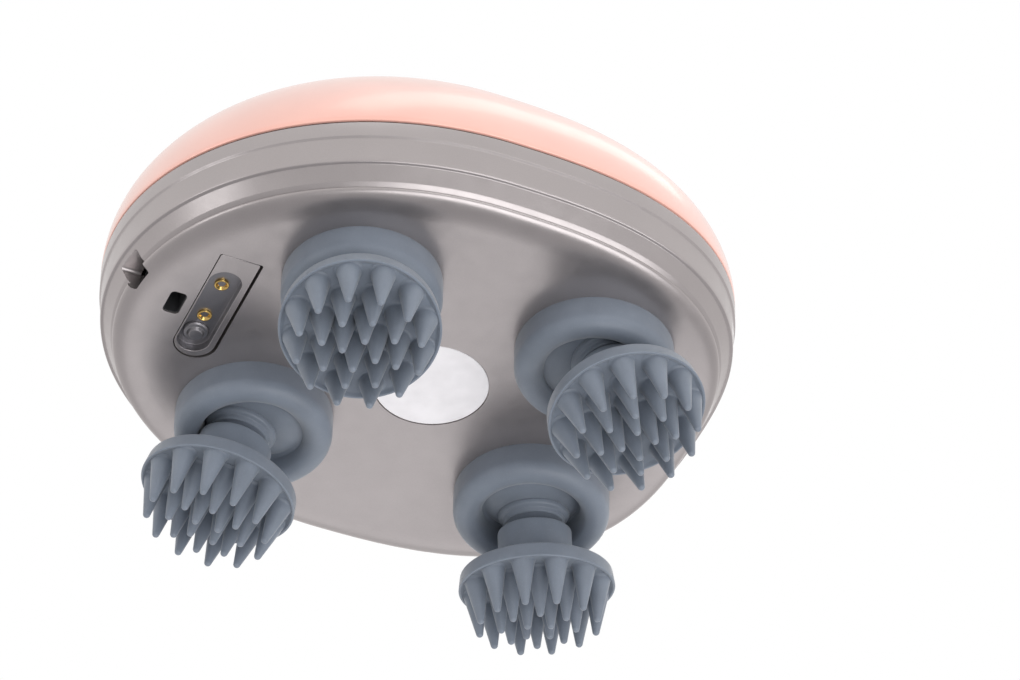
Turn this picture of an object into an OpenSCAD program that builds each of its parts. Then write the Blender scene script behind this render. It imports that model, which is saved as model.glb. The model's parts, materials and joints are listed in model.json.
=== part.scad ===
// Electric scalp massager: a cordless body with four kneading silicone heads.
// It stands on its pins with Z up. The origin is under the middle of the body, at the pin tips.
// Heights named *_h are measured up from the outer face of the flat base plate.

/* [Body outline] */
// Half length of the body at the parting line, along X
half_length = 51.3; // [49:0.1:58]
// Half width of the body at the parting line, along Y
half_width = 43.2; // [41.5:0.1:50]
// Roundness of the outline at the strap end, 2 being an ellipse
tail_power = 2.0; // [1.95:0.05:2.3]
// Roundness of the outline at the blunt end
nose_power = 2.6; // [2.4:0.05:3]
// Points around the outline
outline_steps = 72; // [48:12:96]

/* [Shells] */
// Thickness of the base plate
plate_t = 2.0; // [1.8:0.1:2.4]
// Inward run of the rounded shoulder, from the parting line to the flat plate
shoulder_in = 5.4; // [4.4:0.1:5.8]
// Height of the lower ridge on the side band
ridge_h = 6.0; // [5.5:0.1:7]
// Outward reach of the lower ridge from the parting line
ridge_out = 2.0; // [1.5:0.1:2.4]
// Height of the upper ridge on the side band
upper_ridge_h = 11.0; // [9:0.1:12]
// Outward reach of the upper ridge and the seam
seam_out = 2.7; // [2.5:0.1:3.2]
// Height of the seam between the side band and the dome
seam_h = 14.5; // [14:0.1:16]
// Room between the stop over the power button's flange and the top of the dome
crown_room = 3.75; // [3.6:0.05:5]
// Wall of the dome
dome_wall = 2.2; // [1.8:0.1:2.4]
// Groove and seal line between two shells
seam_gap = 0.5; // [0.3:0.05:0.6]

/* [Massage heads] */
// How far the circle of the four head centres stays inside the mean half size of the outline
head_margin = 16.95; // [16.6:0.05:17.4]
// Centre of that circle, forward of the outline's centre
circle_x = 4.9; // [4:0.1:5.5]
// Centre of that circle, to the side of the outline's centre
circle_y = 2.9; // [2.4:0.1:3.2]
// Angle of the two wide-set heads from the X axis
wide_angle = 32; // [30:0.5:33]
// Angle of the two close-set heads from the X axis
close_angle = 46; // [44:0.5:47]
// Lean of each head from the vertical
lean = 15; // [12:0.5:16]
// Height of the pivot ball above the plate's outer face
pivot_h = 6; // [5.8:0.1:6.4]
// Distance from the pivot to the rim of the pin disc
rim_s = 23.2; // [22.5:0.1:25]

/* [Pins] */
// Radius of the pin disc
disc_r = 13.5; // [13.2:0.1:14]
// Thickness of the pin disc at its rim
disc_t = 2.7; // [2:0.1:3.2]
// Depth of the recessed face inside the rim
face_recess = 0.8; // [0.4:0.1:1.2]
// Reach of the outer pins beyond the rim
pin_reach = 7.6; // [6:0.1:9]
// How much further the innermost pins reach
pin_crown = 0.8; // [0:0.1:1.2]
// Radius of a pin at its root
pin_root_r = 2.0; // [1.4:0.1:2.1]
// Radius of a pin's round tip
pin_tip_r = 0.62; // [0.4:0.02:0.9]
// Radius of the outer ring of pins at the roots
outer_ring_r = 10.9; // [10.4:0.1:11]
// Radius of the middle ring of pins
middle_ring_r = 6.6; // [6.2:0.1:6.8]
// Radius of the inner ring of pins
inner_ring_r = 2.85; // [2.6:0.05:3]

/* [Neck and boot] */
// Radius of the head's hub
hub_r = 6.4; // [6:0.1:6.8]
// Distance from the pivot to the top of the hub
hub_s = 12.3; // [12:0.1:13]
// Radius of the neck between boot and hub
neck_r = 4.9; // [4.6:0.1:5.1]
// Outer radius of the boot
boot_r = 13.5; // [13.2:0.1:14]
// Height of the boot's crown below the plate
boot_crown = 6.2; // [5.6:0.1:6.6]
// Radius of the boot's rolled crown
boot_roll_r = 2.5; // [2.3:0.1:2.6]
// Wall of the boot
boot_wall = 1.1; // [0.8:0.1:1.3]
// Radius of the boot's floor about the pivot
boot_floor_r = 9.9; // [9.6:0.1:10.1]

/* [Ball joints and cranks] */
// Radius of the pivot ball
ball_r = 5.0; // [4.6:0.1:5.2]
// Clearance between the ball and its seat
ball_gap = 0.3; // [0.2:0.05:0.4]
// Radius of the crank pin at the top of the arm
crank_pin_r = 2.2; // [1.8:0.1:2.4]
// Distance from the pivot up to the end of the crank pin
crank_pin_s = 10.6; // [10.2:0.1:11]
// Radius of the crank's upper journal
journal_r = 4.0; // [3.5:0.1:4.5]

/* [Gears] */
// Teeth on each crank gear
crank_teeth = 28; // [28:1:29]
// Teeth on the drive gear
drive_teeth = 32; // [31:1:32]
// Teeth on the pinion of the reduction gear
low_pinion_teeth = 12; // [12:1:13]
// Teeth on the wheel of the reduction gear
wheel_teeth = 44; // [43:1:46]
// Teeth on the motor pinion
motor_pinion_teeth = 12; // [12:1:13]
// Module of the wheel and motor pinion
fine_module = 0.6; // [0.58:0.01:0.61]
// Pressure angle of every gear
pressure_angle = 25; // [24:0.5:26]
// Thickness of the main gears
gear_t = 4.0; // [3.5:0.1:4.2]
// Width of the gap between meshing teeth at the pitch circle
backlash = 0.16; // [0.12:0.01:0.2]

/* [Drive unit] */
// Radius of the motor's can
motor_r = 10; // [9:0.1:10.4]
// Length of the motor's can
motor_l = 12.6; // [11:0.1:12.8]
// Radius of the motor's shaft
shaft_r = 1.0; // [0.8:0.05:1.1]
// Radius of the gear axles
axle_r = 1.5; // [1.2:0.05:1.7]
// Thickness of the gear chassis plate
chassis_t = 2.5; // [2:0.1:2.6]
// Thickness of the motor bridge
bridge_t = 1.6; // [1.4:0.1:2]

/* [Power and controls] */
// Radius of the battery cell
cell_r = 7.1; // [6.5:0.1:7.3]
// Length of the battery cell
cell_l = 50; // [46:0.5:51]
// Radius of the power button
button_r = 8; // [7.5:0.1:8.5]
// Travel of the power button
button_travel = 0.6; // [0.4:0.05:0.65]
// Length of the circuit board
board_l = 32; // [30:0.5:34]
// Width of the circuit board
board_w = 22; // [21:0.5:24]
// Thickness of the circuit board
board_t = 1.2; // [1:0.1:1.6]
// Radius of the round label
label_r = 9.8; // [8:0.1:10.2]
// Distance between the two charging contacts
contact_pitch = 8.1; // [7.6:0.1:8.6]
// Outer radius of a charging contact
contact_r = 1.25; // [1:0.05:1.4]
// Length of the strap hole
strap_hole_l = 5.0; // [4:0.1:5.4]
// Width of the strap hole
strap_hole_w = 3.0; // [2.5:0.1:3.2]

/* [Hidden] */
$fn = 48;

// Clearances shared by the pieces that fit together
fit_gap = 0.05;
run_gap = 0.08;
slip_gap = 0.3;
cut = 0.02;

// Direction, lean azimuth and turn of each head, seen from above: 1 and 3 are by the strap, 3 and 4 wide set
head_angles = [180 + close_angle, -close_angle, 180 - wide_angle, wide_angle];
lean_azimuths = [-111, -47, 136, 56];
pin_turns = [71, 70, 8, 32];
drive_at = [circle_x, circle_y];
head_circle_r = (half_length + half_width) / 2 - head_margin;
function head_at(i) = drive_at + head_circle_r * [cos(head_angles[i]), sin(head_angles[i])];

// The lowest pin tip touches the ground, which sets the height of the plate
outer_pins = 12;
outer_tip_in = 0.6;
pin_step = 360 / outer_pins;
lowest_turn = max([for (turn = pin_turns) for (k = [0 : outer_pins - 1]) cos(turn + k * pin_step)]);
low_tip_r = (outer_ring_r - outer_tip_in) * lowest_turn;
tip_s = rim_s + pin_reach - pin_tip_r;
plate_z = tip_s * cos(lean) + low_tip_r * sin(lean) + pin_tip_r - pivot_h;

// Side band and dome
parting_h = plate_t;
shell_h = seam_h + seam_gap / 2;
frame_top_h = seam_h - seam_gap / 2;
spigot_gap = 0.1;
spigot_t = 1.5;
base_spigot_out = -2.3;
dome_spigot_out = 0.7;
dome_spigot_t = 1.2;
dome_spigot_h = 2.6;
dome_rings = 10;

// Gear train: heights and centres, from the cranks up to the motor
crank_hub_h = pivot_h + ball_r + 0.4;
crank_hub_r = 7.2;
gear_h = crank_hub_h + 0.8;
chassis_h = gear_h + gear_t + 1.4;
chassis_top_h = chassis_h + chassis_t;
wheel_h = chassis_top_h + 0.9;
wheel_t = 2.4;
bridge_h = wheel_h + wheel_t + 1.2;
bridge_top_h = bridge_h + bridge_t;
coarse_module = 2 * head_circle_r / (crank_teeth + drive_teeth);
addendum = 0.9;
dedendum = 1.25;
reduction_at = drive_at + [0, (drive_teeth + low_pinion_teeth) * coarse_module / 2];
motor_at = reduction_at - [0, (wheel_teeth + motor_pinion_teeth) * fine_module / 2];
axle_boss_r = 3.4;

// Battery, board and button
cell_margin = 23.2;
cell_at = [0, cell_margin - half_width];
cell_h = chassis_top_h + 1.3 + cell_r;
motor_top_h = bridge_top_h + motor_l;
board_h = motor_top_h + 0.6;
board_top_h = board_h + board_t;
board_at = [0, -1];
switch_h = 1.4;
flange_h = board_top_h + switch_h + 0.3 + button_travel;
flange_t = 0.8;
flange_r = button_r + 1.4;
pad_h = flange_h + flange_t + slip_gap;
dome_h = pad_h + crown_room - shell_h;
board_boss_xs = [-board_l / 2 + 3, board_l / 2 - 3];
board_boss_y = -7;
guide_at = [14, 0];
guide_r = 1.2;
led_h = 1.0;

// Screw places: those round the rim are given by their angle and their distance inside the parting line
function rim_place(p) = (outline_r(p[0], half_length, half_width) - p[1]) * [cos(p[0]), sin(p[0])];
frame_tabs = [for (p = [[236, 6.1], [320, 5.7], [67.4, 6.7], [114, 5.9]]) rim_place(p)];
chassis_posts = [for (p = [[213, 7.3], [278.5, 8.7], [356, 8.2], [100, 7.3], [159, 7.3]]) rim_place(p)];
wheel_tip_r = (wheel_teeth / 2 + addendum) * fine_module;
bridge_posts = [
    for (x = [-1, 1]) motor_at + [x * (motor_r + 4.5), -3],
    for (x = [-1, 1]) reduction_at + [x * (wheel_tip_r + 3.1), -6]
];
post_r = 2.8;
bridge_post_r = 2.5;
screw_r = 1.2;
screw_hole_r = screw_r + 0.15;
screw_head_r = 2.3;
screw_head_t = 1.5;
screw_sink = 1.0;
frame_screw_l = 5;
chassis_screw_l = 8;
bridge_screw_l = 6;
tab_h = 6.4;
tab_t = 2.0;
tab_r = 3.0;
motor_spigot_r = 3.0;
motor_screw_r = 0.9;
motor_screw_x = 0.65 * motor_r;
motor_screw_head_r = 1.7;
motor_screw_head_t = 0.9;
motor_screw_bite = 2.0;

// Charging insert, strap passage and label on the plate
insert_x = 14.8 - half_length;
insert_w = 7.0;
insert_tail_y = 6.0;
insert_top_y = -15.7;
insert_flange = 1.1;
insert_t = 3.8;
pocket_x = insert_x - 0.4;
pocket_r = 2.8;
pocket_depth = 1.6;
contact_y = -7.5;
contact_raise = 0.5;
strap_hole_at = [8.3 - half_length, -1.7];
notch_y = -3.9;
notch_w = 5.6;
notch_h = 0.55;
notch_top_h = 4.8;
passage_wall = 1.1;
label_at = [4, 0];
label_recess = 0.3;

// Holes for the heads, with the boot's inner bead behind the plate and the seat of the pivot ball over it
hole_r = 7.8;
bead_r = hole_r + 0.8;
bead_t = 0.7;
seat_flange_r = hole_r + 2.4;
seat_flange_t = 2.4;
seat_wall = 2.3;
seat_slot_w = 0.8;

function outline_r(a, ax, by) =
    let (p = cos(a) < 0 ? tail_power : nose_power)
    pow(pow(abs(cos(a)) / ax, p) + pow(abs(sin(a)) / by, p), -1 / p);

// Plan outline grown by a distance d from the parting line
function outline(d, k = 1) = [
    for (i = [0 : outline_steps - 1])
        let (a = 360 * i / outline_steps)
        k * outline_r(a, half_length + d, half_width + d) * [cos(a), sin(a)]
];

// Height of the dome over a point, for the outer face or one inset from it
function dome_at(p, inset = 0) =
    let (a = atan2(p[1], p[0]), e = seam_out - inset, full = outline_r(a, half_length + e, half_width + e))
    shell_h + (dome_h - inset) * sqrt(1 - pow(min(1, norm(p) / full), 2));

// Rings are [growth, height] or [growth, height, scale]
function ring_points(r) = [for (p = outline(r[0], len(r) > 2 ? r[2] : 1)) [p[0], p[1], r[1]]];

function side_faces(count, closed) = [
    for (k = [0 : count - (closed ? 1 : 2)])
        for (i = [0 : outline_steps - 1])
            let (a = k * outline_steps, b = ((k + 1) % count) * outline_steps, j = (i + 1) % outline_steps)
            for (f = [[a + i, b + i, b + j], [a + i, b + j, a + j]]) f
];

// Skin through a run of rings, capped at both ends
module loft(rings) {
    count = len(rings);
    caps = [
        [for (i = [0 : outline_steps - 1]) i],
        [for (i = [outline_steps - 1 : -1 : 0]) (count - 1) * outline_steps + i]
    ];
    points = [for (r = rings) for (p = ring_points(r)) p];
    polyhedron(points, concat(caps, side_faces(count, false)), convexity = 6);
}

// Skin through a run of rings that closes on itself
module ring_loft(rings) {
    points = [for (r = rings) for (p = ring_points(r)) p];
    polyhedron(points, side_faces(len(rings), true), convexity = 6);
}

module at_plate() {
    translate([0, 0, plate_z]) children();
}

// Frame of one head: vertical at its centre, with the origin at the pivot
module at_head(i) {
    at_plate() translate([head_at(i)[0], head_at(i)[1], pivot_h]) rotate(lean_azimuths[i]) children();
}

// The leaning axis of a head, turned so that +Z runs down the arm, away from the body
module along_arm(i) {
    at_head(i) rotate([0, 180 - lean, 0]) children();
}

module tube(r_out, r_in, h) {
    difference() {
        cylinder(r = r_out, h = h);
        translate([0, 0, -1]) cylinder(r = r_in, h = h + 2);
    }
}

module slot_block(w, l, h, r) {
    for (x = [-1, 1]) {
        for (y = [-1, 1]) {
            translate([x * (w / 2 - r), y * (l / 2 - r), 0]) cylinder(r = r, h = h);
        }
    }
    translate([-w / 2 + r, -l / 2, 0]) cube([w - 2 * r, l, h]);
    translate([-w / 2, -l / 2 + r, 0]) cube([w, l - 2 * r, h]);
}

module screw(length) {
    translate([0, 0, -length]) cylinder(r = screw_r, h = length + cut);
    difference() {
        rotate_extrude() polygon([[0, 0], [screw_head_r, 0], [screw_head_r, 0.7], [1.2, screw_head_t],
            [0, screw_head_t]]);
        for (a = [0, 90]) {
            rotate(a) translate([-1.1, -0.25, 0.7]) cube([2.2, 0.5, 2]);
        }
    }
}

// ---- Gear teeth ----

function involute(a) = tan(a) * 180 / PI - a;

// Half the angle that a tooth covers at radius r
function tooth_half(teeth, m, r) =
    let (rp = teeth * m / 2, rb = rp * cos(pressure_angle), thin = backlash / 2 / rp * 90 / PI)
    90 / teeth - thin + involute(pressure_angle) - involute(r > rb ? acos(rb / r) : 0);

module gear_outline(teeth, m) {
    rp = teeth * m / 2;
    tip = rp + addendum * m;
    root = rp - dedendum * m;
    base = max(rp * cos(pressure_angle), root + 0.02);
    radii = [root, base, (base + rp) / 2, rp, (rp + tip) / 2, tip];
    points = [
        for (t = [0 : teeth - 1])
            for (side = [-1, 1])
                for (k = [0 : len(radii) - 1])
                    let (r = side < 0 ? radii[k] : radii[len(radii) - 1 - k])
                    let (a = 360 * t / teeth + side * tooth_half(teeth, m, r))
                    r * [cos(a), sin(a)]
    ];
    polygon(points);
}

module gear(teeth, m, h) {
    linear_extrude(h) gear_outline(teeth, m);
}

// Turn that sets a gear in mesh with another whose tooth lies at the angle phase, in direction a from it
function mesh_turn(a, phase, teeth_a, teeth_b) = a + 180 + (a - phase) * teeth_a / teeth_b + 180 / teeth_b;

// ---- Shells ----

module top_shell() {
    inner = dome_wall;
    spigot_in = dome_spigot_out - dome_spigot_t;
    color([0.93, 0.69, 0.62]) at_plate() difference() {
        union() {
            loft(concat(
                [for (i = [dome_rings - 1 : -1 : 1]) let (t = 88 * i / (dome_rings - 1))
                    [seam_out - inner, shell_h + (dome_h - inner) * sin(t), cos(t)]],
                [[spigot_in, shell_h + 0.5], [spigot_in, shell_h - dome_spigot_h],
                    [dome_spigot_out, shell_h - dome_spigot_h], [dome_spigot_out, shell_h]],
                [for (i = [0 : dome_rings]) let (t = 88 * i / dome_rings)
                    [seam_out, shell_h + dome_h * sin(t), cos(t)]]
            ));
            translate([0, 0, pad_h]) cylinder(r = flange_r + 1.8, h = dome_at([flange_r + 1.8, 0], 1) - pad_h);
            for (x = board_boss_xs) {
                translate([x, board_boss_y, board_top_h])
                    cylinder(r = 2.4, h = dome_at([abs(x) + 2.4, board_boss_y], 0.8) - board_top_h);
            }
            translate([guide_at[0], guide_at[1], board_top_h + led_h + 1])
                cylinder(r = guide_r + 1, h = dome_at(guide_at + [guide_r + 1, 0], 0.8) - board_top_h - led_h - 1);
        }
        translate([0, 0, pad_h - 1]) cylinder(r = button_r + slip_gap, h = dome_h);
        translate([guide_at[0], guide_at[1], board_top_h]) cylinder(r = guide_r + fit_gap, h = dome_h);
        for (x = board_boss_xs) {
            translate([x, board_boss_y, board_top_h - 1]) cylinder(r = screw_r + fit_gap, h = 3.4);
        }
    }
}

module shell_seal() {
    outer = seam_out - 0.35;
    inner = dome_spigot_out + spigot_gap;
    color([0.16, 0.15, 0.16]) at_plate() ring_loft([
        [outer, frame_top_h], [outer, shell_h], [inner, shell_h], [inner, frame_top_h]
    ]);
}

module mid_frame() {
    socket_out = dome_spigot_out + spigot_gap;
    color([0.72, 0.71, 0.72]) at_plate() difference() {
        union() {
            ring_loft([
                [-seam_gap, parting_h], [-0.1, parting_h + 0.25], [0.5, parting_h + 1.1],
                [ridge_out - 0.55, ridge_h - 1.5], [ridge_out - 0.05, ridge_h - 0.35], [ridge_out, ridge_h],
                [ridge_out + 0.28, ridge_h + 0.35], [seam_out - 0.25, upper_ridge_h - 0.2],
                [seam_out - 0.05, upper_ridge_h + 0.2], [seam_out, frame_top_h - 0.3], [seam_out - 0.2, frame_top_h],
                [socket_out, frame_top_h], [socket_out, shell_h - dome_spigot_h - spigot_gap],
                [-0.4, tab_h + tab_t + 0.4], [base_spigot_out + spigot_gap, parting_h + 2.8],
                [base_spigot_out + spigot_gap, parting_h]
            ]);
            for (p = frame_tabs) {
                frame_tab(p);
            }
        }
        strap_notch();
    }
}

// Screw tab that reaches in from the side band
module frame_tab(p) {
    a = atan2(p[1], p[0]);
    bar_w = 1.8 * tab_r;
    reach = outline_r(a, half_length + 0.7, half_width + 0.7) - norm(p);
    translate([p[0], p[1], tab_h]) rotate(a) linear_extrude(tab_t) difference() {
        union() {
            circle(r = tab_r);
            translate([0, -bar_w / 2]) square([reach, bar_w]);
        }
        circle(r = screw_hole_r);
    }
}

module strap_notch() {
    translate([-half_length - 6, notch_y - notch_w / 2, notch_h]) cube([10.5, notch_w, notch_top_h - notch_h]);
}

module base_cover() {
    shoulder_steps = 6;
    shoulder_h = parting_h - 0.3;
    passage_x = strap_hole_at[0] - 4.4;
    passage_start = -half_length - base_spigot_out - 0.2;
    passage_end = strap_hole_at[0] + strap_hole_w / 2;
    passage_y = notch_y - notch_w / 2;
    passage_w = strap_hole_at[1] + strap_hole_l / 2 - passage_y;
    color([0.75, 0.74, 0.74]) at_plate() difference() {
        union() {
            loft(concat(
                [for (i = [0 : shoulder_steps]) let (t = 90 * i / shoulder_steps)
                    [-shoulder_in * (1 - sin(t)), shoulder_h * (1 - cos(t))]],
                [[-seam_gap, parting_h - 0.15], [-seam_gap, parting_h], [base_spigot_out, parting_h],
                    [base_spigot_out, parting_h + 2.4], [base_spigot_out - spigot_t, parting_h + 2.4],
                    [base_spigot_out - spigot_t, parting_h]]
            ));
            for (p = chassis_posts) {
                translate([p[0], p[1], plate_t - cut]) cylinder(r = post_r, h = chassis_h - plate_t + cut);
            }
            for (p = frame_tabs) {
                translate([p[0], p[1], plate_t - cut]) cylinder(r = post_r, h = tab_h - plate_t + cut);
            }
            for (p = [drive_at, reduction_at]) {
                translate([p[0], p[1], plate_t - cut]) cylinder(r = axle_boss_r, h = gear_h - plate_t - 1 + cut);
            }
            translate([passage_x, passage_y - passage_wall, parting_h - cut]) cube([
                passage_end + passage_wall - passage_x, passage_w + 2 * passage_wall,
                notch_top_h - parting_h + passage_wall
            ]);
        }
        for (i = [0 : 3]) {
            translate([head_at(i)[0], head_at(i)[1], -1]) cylinder(r = hole_r, h = plate_t + 2);
        }
        for (p = chassis_posts) {
            translate([p[0], p[1], chassis_h - 7]) cylinder(r = screw_r + fit_gap, h = 8);
        }
        for (p = frame_tabs) {
            translate([p[0], p[1], plate_t + 0.6]) cylinder(r = screw_r + fit_gap, h = tab_h);
        }
        for (p = [drive_at, reduction_at]) {
            translate([p[0], p[1], plate_t]) cylinder(r = axle_r + fit_gap, h = gear_h);
        }
        translate([0, 0, -1]) linear_extrude(plate_t + 2) insert_outline(0.15);
        translate([label_at[0], label_at[1], -1]) cylinder(r = label_r + 0.15, h = 1 + label_recess);
        translate([strap_hole_at[0], strap_hole_at[1], -1]) slot_block(strap_hole_w, strap_hole_l, plate_t + 2, 1);
        translate([passage_start, passage_y, parting_h - 0.6])
            cube([passage_end - passage_start, passage_w, notch_top_h - parting_h + 0.6]);
        strap_notch();
    }
}

module insert_outline(grow) {
    w = insert_w / 2 + grow;
    translate([insert_x - w, insert_top_y - grow]) square([2 * w, insert_tail_y - insert_top_y + grow]);
    translate([insert_x, insert_tail_y]) circle(r = w);
}

module charge_insert() {
    color([0.36, 0.36, 0.38]) at_plate() difference() {
        union() {
            translate([0, 0, 0.05]) linear_extrude(insert_t - 0.05) insert_outline(0);
            translate([0, 0, plate_t]) linear_extrude(insert_t - plate_t) difference() {
                insert_outline(insert_flange);
                translate([insert_x - 2 * insert_w, 2 * insert_top_y]) square([1.5 * insert_w, 4 * insert_w + 30]);
            }
        }
        difference() {
            translate([0, 0, -1]) {
                for (y = [insert_top_y + 3.7 + pocket_r, insert_tail_y - 0.4]) {
                    translate([pocket_x, y, 0]) cylinder(r = pocket_r, h = 1 + pocket_depth);
                }
                translate([pocket_x - pocket_r, insert_top_y + 3.7 + pocket_r, 0])
                    cube([2 * pocket_r, insert_tail_y - insert_top_y - 4.1 - pocket_r, 1 + pocket_depth]);
            }
            translate([pocket_x, insert_tail_y - 1.2, 0.9]) cylinder(r = 2.2, h = 3);
            translate([pocket_x, insert_tail_y - 1.2, 0.4]) cylinder(r = 1.5, h = 3);
        }
        for (y = [0, contact_pitch]) {
            translate([pocket_x, contact_y + y, -1]) cylinder(r = contact_r + fit_gap, h = 6);
        }
    }
}

module charge_contacts() {
    color([0.86, 0.68, 0.32]) at_plate() for (y = [0, contact_pitch]) {
        translate([pocket_x, contact_y + y, 0]) {
            difference() {
                translate([0, 0, pocket_depth - contact_raise]) cylinder(r = contact_r, h = insert_t);
                translate([0, 0, -1]) cylinder(r = contact_r * 0.5, h = 1 + pocket_depth + 0.6);
            }
            translate([0, 0, insert_t]) cylinder(r = contact_r * 0.4, h = 3);
        }
    }
}

module label_disc() {
    color([0.95, 0.95, 0.94]) at_plate() translate([label_at[0], label_at[1], 0.08])
        cylinder(r = label_r, h = label_recess - 0.08);
}

// ---- Massage heads ----

module brush(i) {
    back_s = rim_s - disc_t;
    floor_s = rim_s - face_recess;
    color([0.42, 0.46, 0.52]) along_arm(i) difference() {
        union() {
            rotate_extrude() polygon([
                [0, hub_s], [hub_r - 0.6, hub_s], [hub_r, hub_s + 0.6], [hub_r, back_s - 1.4],
                [hub_r + 0.4, back_s - 0.6], [hub_r + 1.4, back_s], [disc_r - 0.8, back_s],
                [disc_r - 0.25, back_s + 0.35], [disc_r, rim_s - 0.2], [disc_r - 0.15, rim_s],
                [disc_r - 0.5, rim_s], [disc_r - 1.0, floor_s], [0, floor_s]
            ]);
            rotate(pin_turns[i]) {
                pin_ring(outer_pins, outer_ring_r, outer_tip_in, 0);
                pin_ring(8, middle_ring_r, 0.2, 0.7 * pin_crown);
                pin_ring(4, inner_ring_r, 0, pin_crown);
            }
        }
        translate([0, 0, hub_s - 1]) cylinder(r = stub_r + fit_gap, h = back_s - hub_s);
    }
}

// One ring of pins, rooted in the recessed face, whose tips stand closer in by tip_in and reach further by extra
module pin_ring(count, r, tip_in, extra) {
    root_s = rim_s - face_recess - 0.2;
    length = rim_s + pin_reach + extra - root_s;
    for (k = [0 : count - 1]) {
        rotate(360 * k / count) translate([r, 0, root_s]) rotate([0, -atan(tip_in / length), 0]) pin(length);
    }
}

// A cone with a tangent round tip
module pin(length) {
    slope = atan((pin_root_r - pin_tip_r) / (length - pin_tip_r));
    centre = length - pin_tip_r;
    rotate_extrude($fn = 24) polygon(concat(
        [[0, 0], [pin_root_r, 0]],
        [for (k = [0 : 4]) let (a = slope + (90 - slope) * k / 4) [pin_tip_r * cos(a), centre + pin_tip_r * sin(a)]]
    ));
}

module arm(i) {
    color([0.4, 0.44, 0.5]) along_arm(i) {
        sphere(r = ball_r);
        translate([0, 0, -crank_pin_s]) cylinder(r = crank_pin_r, h = crank_pin_s);
        cylinder(r = 3.0, h = neck_base_s() + cut);
        translate([0, 0, neck_base_s()]) cylinder(r = neck_r, h = hub_s - neck_base_s());
        translate([0, 0, hub_s - cut]) cylinder(r = stub_r, h = rim_s - disc_t - hub_s - 1.2);
    }
}

// Radius of the stub that the head pushes on, and where the thick neck starts, just inside the boot's floor
stub_r = 3.4;
function neck_base_s() = boot_floor_r - 2.0;

module boot_ring(i) {
    ring_s = sqrt(pow(boot_floor_r, 2) - pow(neck_r, 2)) + 0.95;
    bead = 0.8;
    color([0.4, 0.44, 0.5]) along_arm(i) rotate_extrude() polygon(concat(
        [[neck_r + fit_gap, ring_s + bead], [neck_r + fit_gap, ring_s - bead]],
        [for (k = [1 : 7]) let (a = -90 + 180 * k / 8) [neck_r + fit_gap + bead * cos(a), ring_s + bead * sin(a)]]
    ));
}

// Arc points about c, from angle a0 to a1
function arc(c, r, a0, a1, steps) = [
    for (k = [0 : steps]) let (a = a0 + (a1 - a0) * k / steps) c + r * [cos(a), sin(a)]
];

module boot(i) {
    // The profile is drawn outwards from the plate, with the pivot at the origin
    crown = [boot_r - boot_roll_r, pivot_h + boot_crown - boot_roll_r];
    root_a = asin(7.2 / boot_floor_r);
    inner_a = asin(6.7 / (boot_floor_r - boot_wall));
    lip_h = pivot_h - plate_t;
    color([0.4, 0.44, 0.5]) difference() {
        at_head(i) rotate([180, 0, 0]) rotate_extrude($fn = 64) polygon(concat(
            [[boot_r, pivot_h], crown + [boot_roll_r, 0]],
            arc(crown, boot_roll_r, 15, 165, 8),
            [crown - [boot_roll_r, 0], [crown[0] - boot_roll_r - 0.1, pivot_h + 1.5], [7.9, pivot_h + 0.7]],
            arc([0, 0], boot_floor_r, 90 - root_a, 90, 6),
            arc([0, 0], boot_floor_r - boot_wall, 90, 90 - inner_a, 6),
            [[hole_r - 1, pivot_h - 0.4], [hole_r - 1, lip_h - bead_t], [bead_r, lip_h - bead_t],
                [bead_r, lip_h - fit_gap],
                [hole_r - fit_gap, lip_h - fit_gap], [hole_r - fit_gap, pivot_h],
                [crown[0] - boot_roll_r + boot_wall, pivot_h]],
            arc(crown, boot_roll_r - boot_wall, 180, 0, 8),
            [[boot_r - boot_wall, pivot_h]]
        ));
        along_arm(i) cylinder(r = neck_r + slip_gap, h = rim_s);
        along_arm(i) translate([0, 0, hub_s - slip_gap]) cylinder(r = hub_r + slip_gap, h = rim_s);
    }
}

module ball_seat(i) {
    floor_z = plate_t - pivot_h;
    cup_r = ball_r + ball_gap + seat_wall;
    color([0.85, 0.85, 0.82]) at_head(i) difference() {
        union() {
            translate([0, 0, floor_z]) cylinder(r = seat_flange_r, h = seat_flange_t);
            translate([0, 0, floor_z]) cylinder(r = cup_r, h = ball_r / 2 - floor_z);
        }
        sphere(r = ball_r + ball_gap);
        translate([0, 0, floor_z - 1]) cylinder(r = bead_r + slip_gap, h = 1 + bead_t + 0.2);
        for (a = [0, 120, 240]) {
            rotate(a) translate([0, -seat_slot_w / 2, 0]) cube([cup_r + 1, seat_slot_w, ball_r]);
        }
    }
}

module crank_gear(i) {
    turn = mesh_turn(head_angles[i], 0, drive_teeth, crank_teeth);
    bore_s = crank_pin_s + 0.3;
    color([0.9, 0.88, 0.8]) difference() {
        at_plate() translate([head_at(i)[0], head_at(i)[1], 0]) {
            translate([0, 0, gear_h]) rotate(turn) gear(crank_teeth, coarse_module, gear_t);
            translate([0, 0, crank_hub_h]) cylinder(r = crank_hub_r, h = chassis_h - 0.35 - crank_hub_h);
            translate([0, 0, gear_h]) cylinder(r = journal_r, h = chassis_top_h - gear_h - 0.3);
        }
        along_arm(i) translate([0, 0, -bore_s]) cylinder(r = crank_pin_r + run_gap, h = bore_s);
    }
}

// ---- Gear train ----

module drive_gear() {
    color([0.9, 0.88, 0.8]) at_plate() translate([drive_at[0], drive_at[1], 0]) difference() {
        union() {
            translate([0, 0, gear_h]) gear(drive_teeth, coarse_module, gear_t);
            translate([0, 0, gear_h - 0.7]) cylinder(r = 4, h = chassis_h - 0.35 - gear_h + 0.7);
        }
        cylinder(r = axle_r + run_gap, h = chassis_h + 1);
        for (a = [0 : 60 : 300]) {
            rotate(a) translate([8.8, 0, gear_h - 1]) cylinder(r = 2.6, h = gear_t + 2);
        }
    }
}

module drive_axle() {
    color([0.7, 0.7, 0.72]) at_plate() translate([drive_at[0], drive_at[1], plate_t])
        cylinder(r = axle_r, h = chassis_top_h - plate_t);
}

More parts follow.
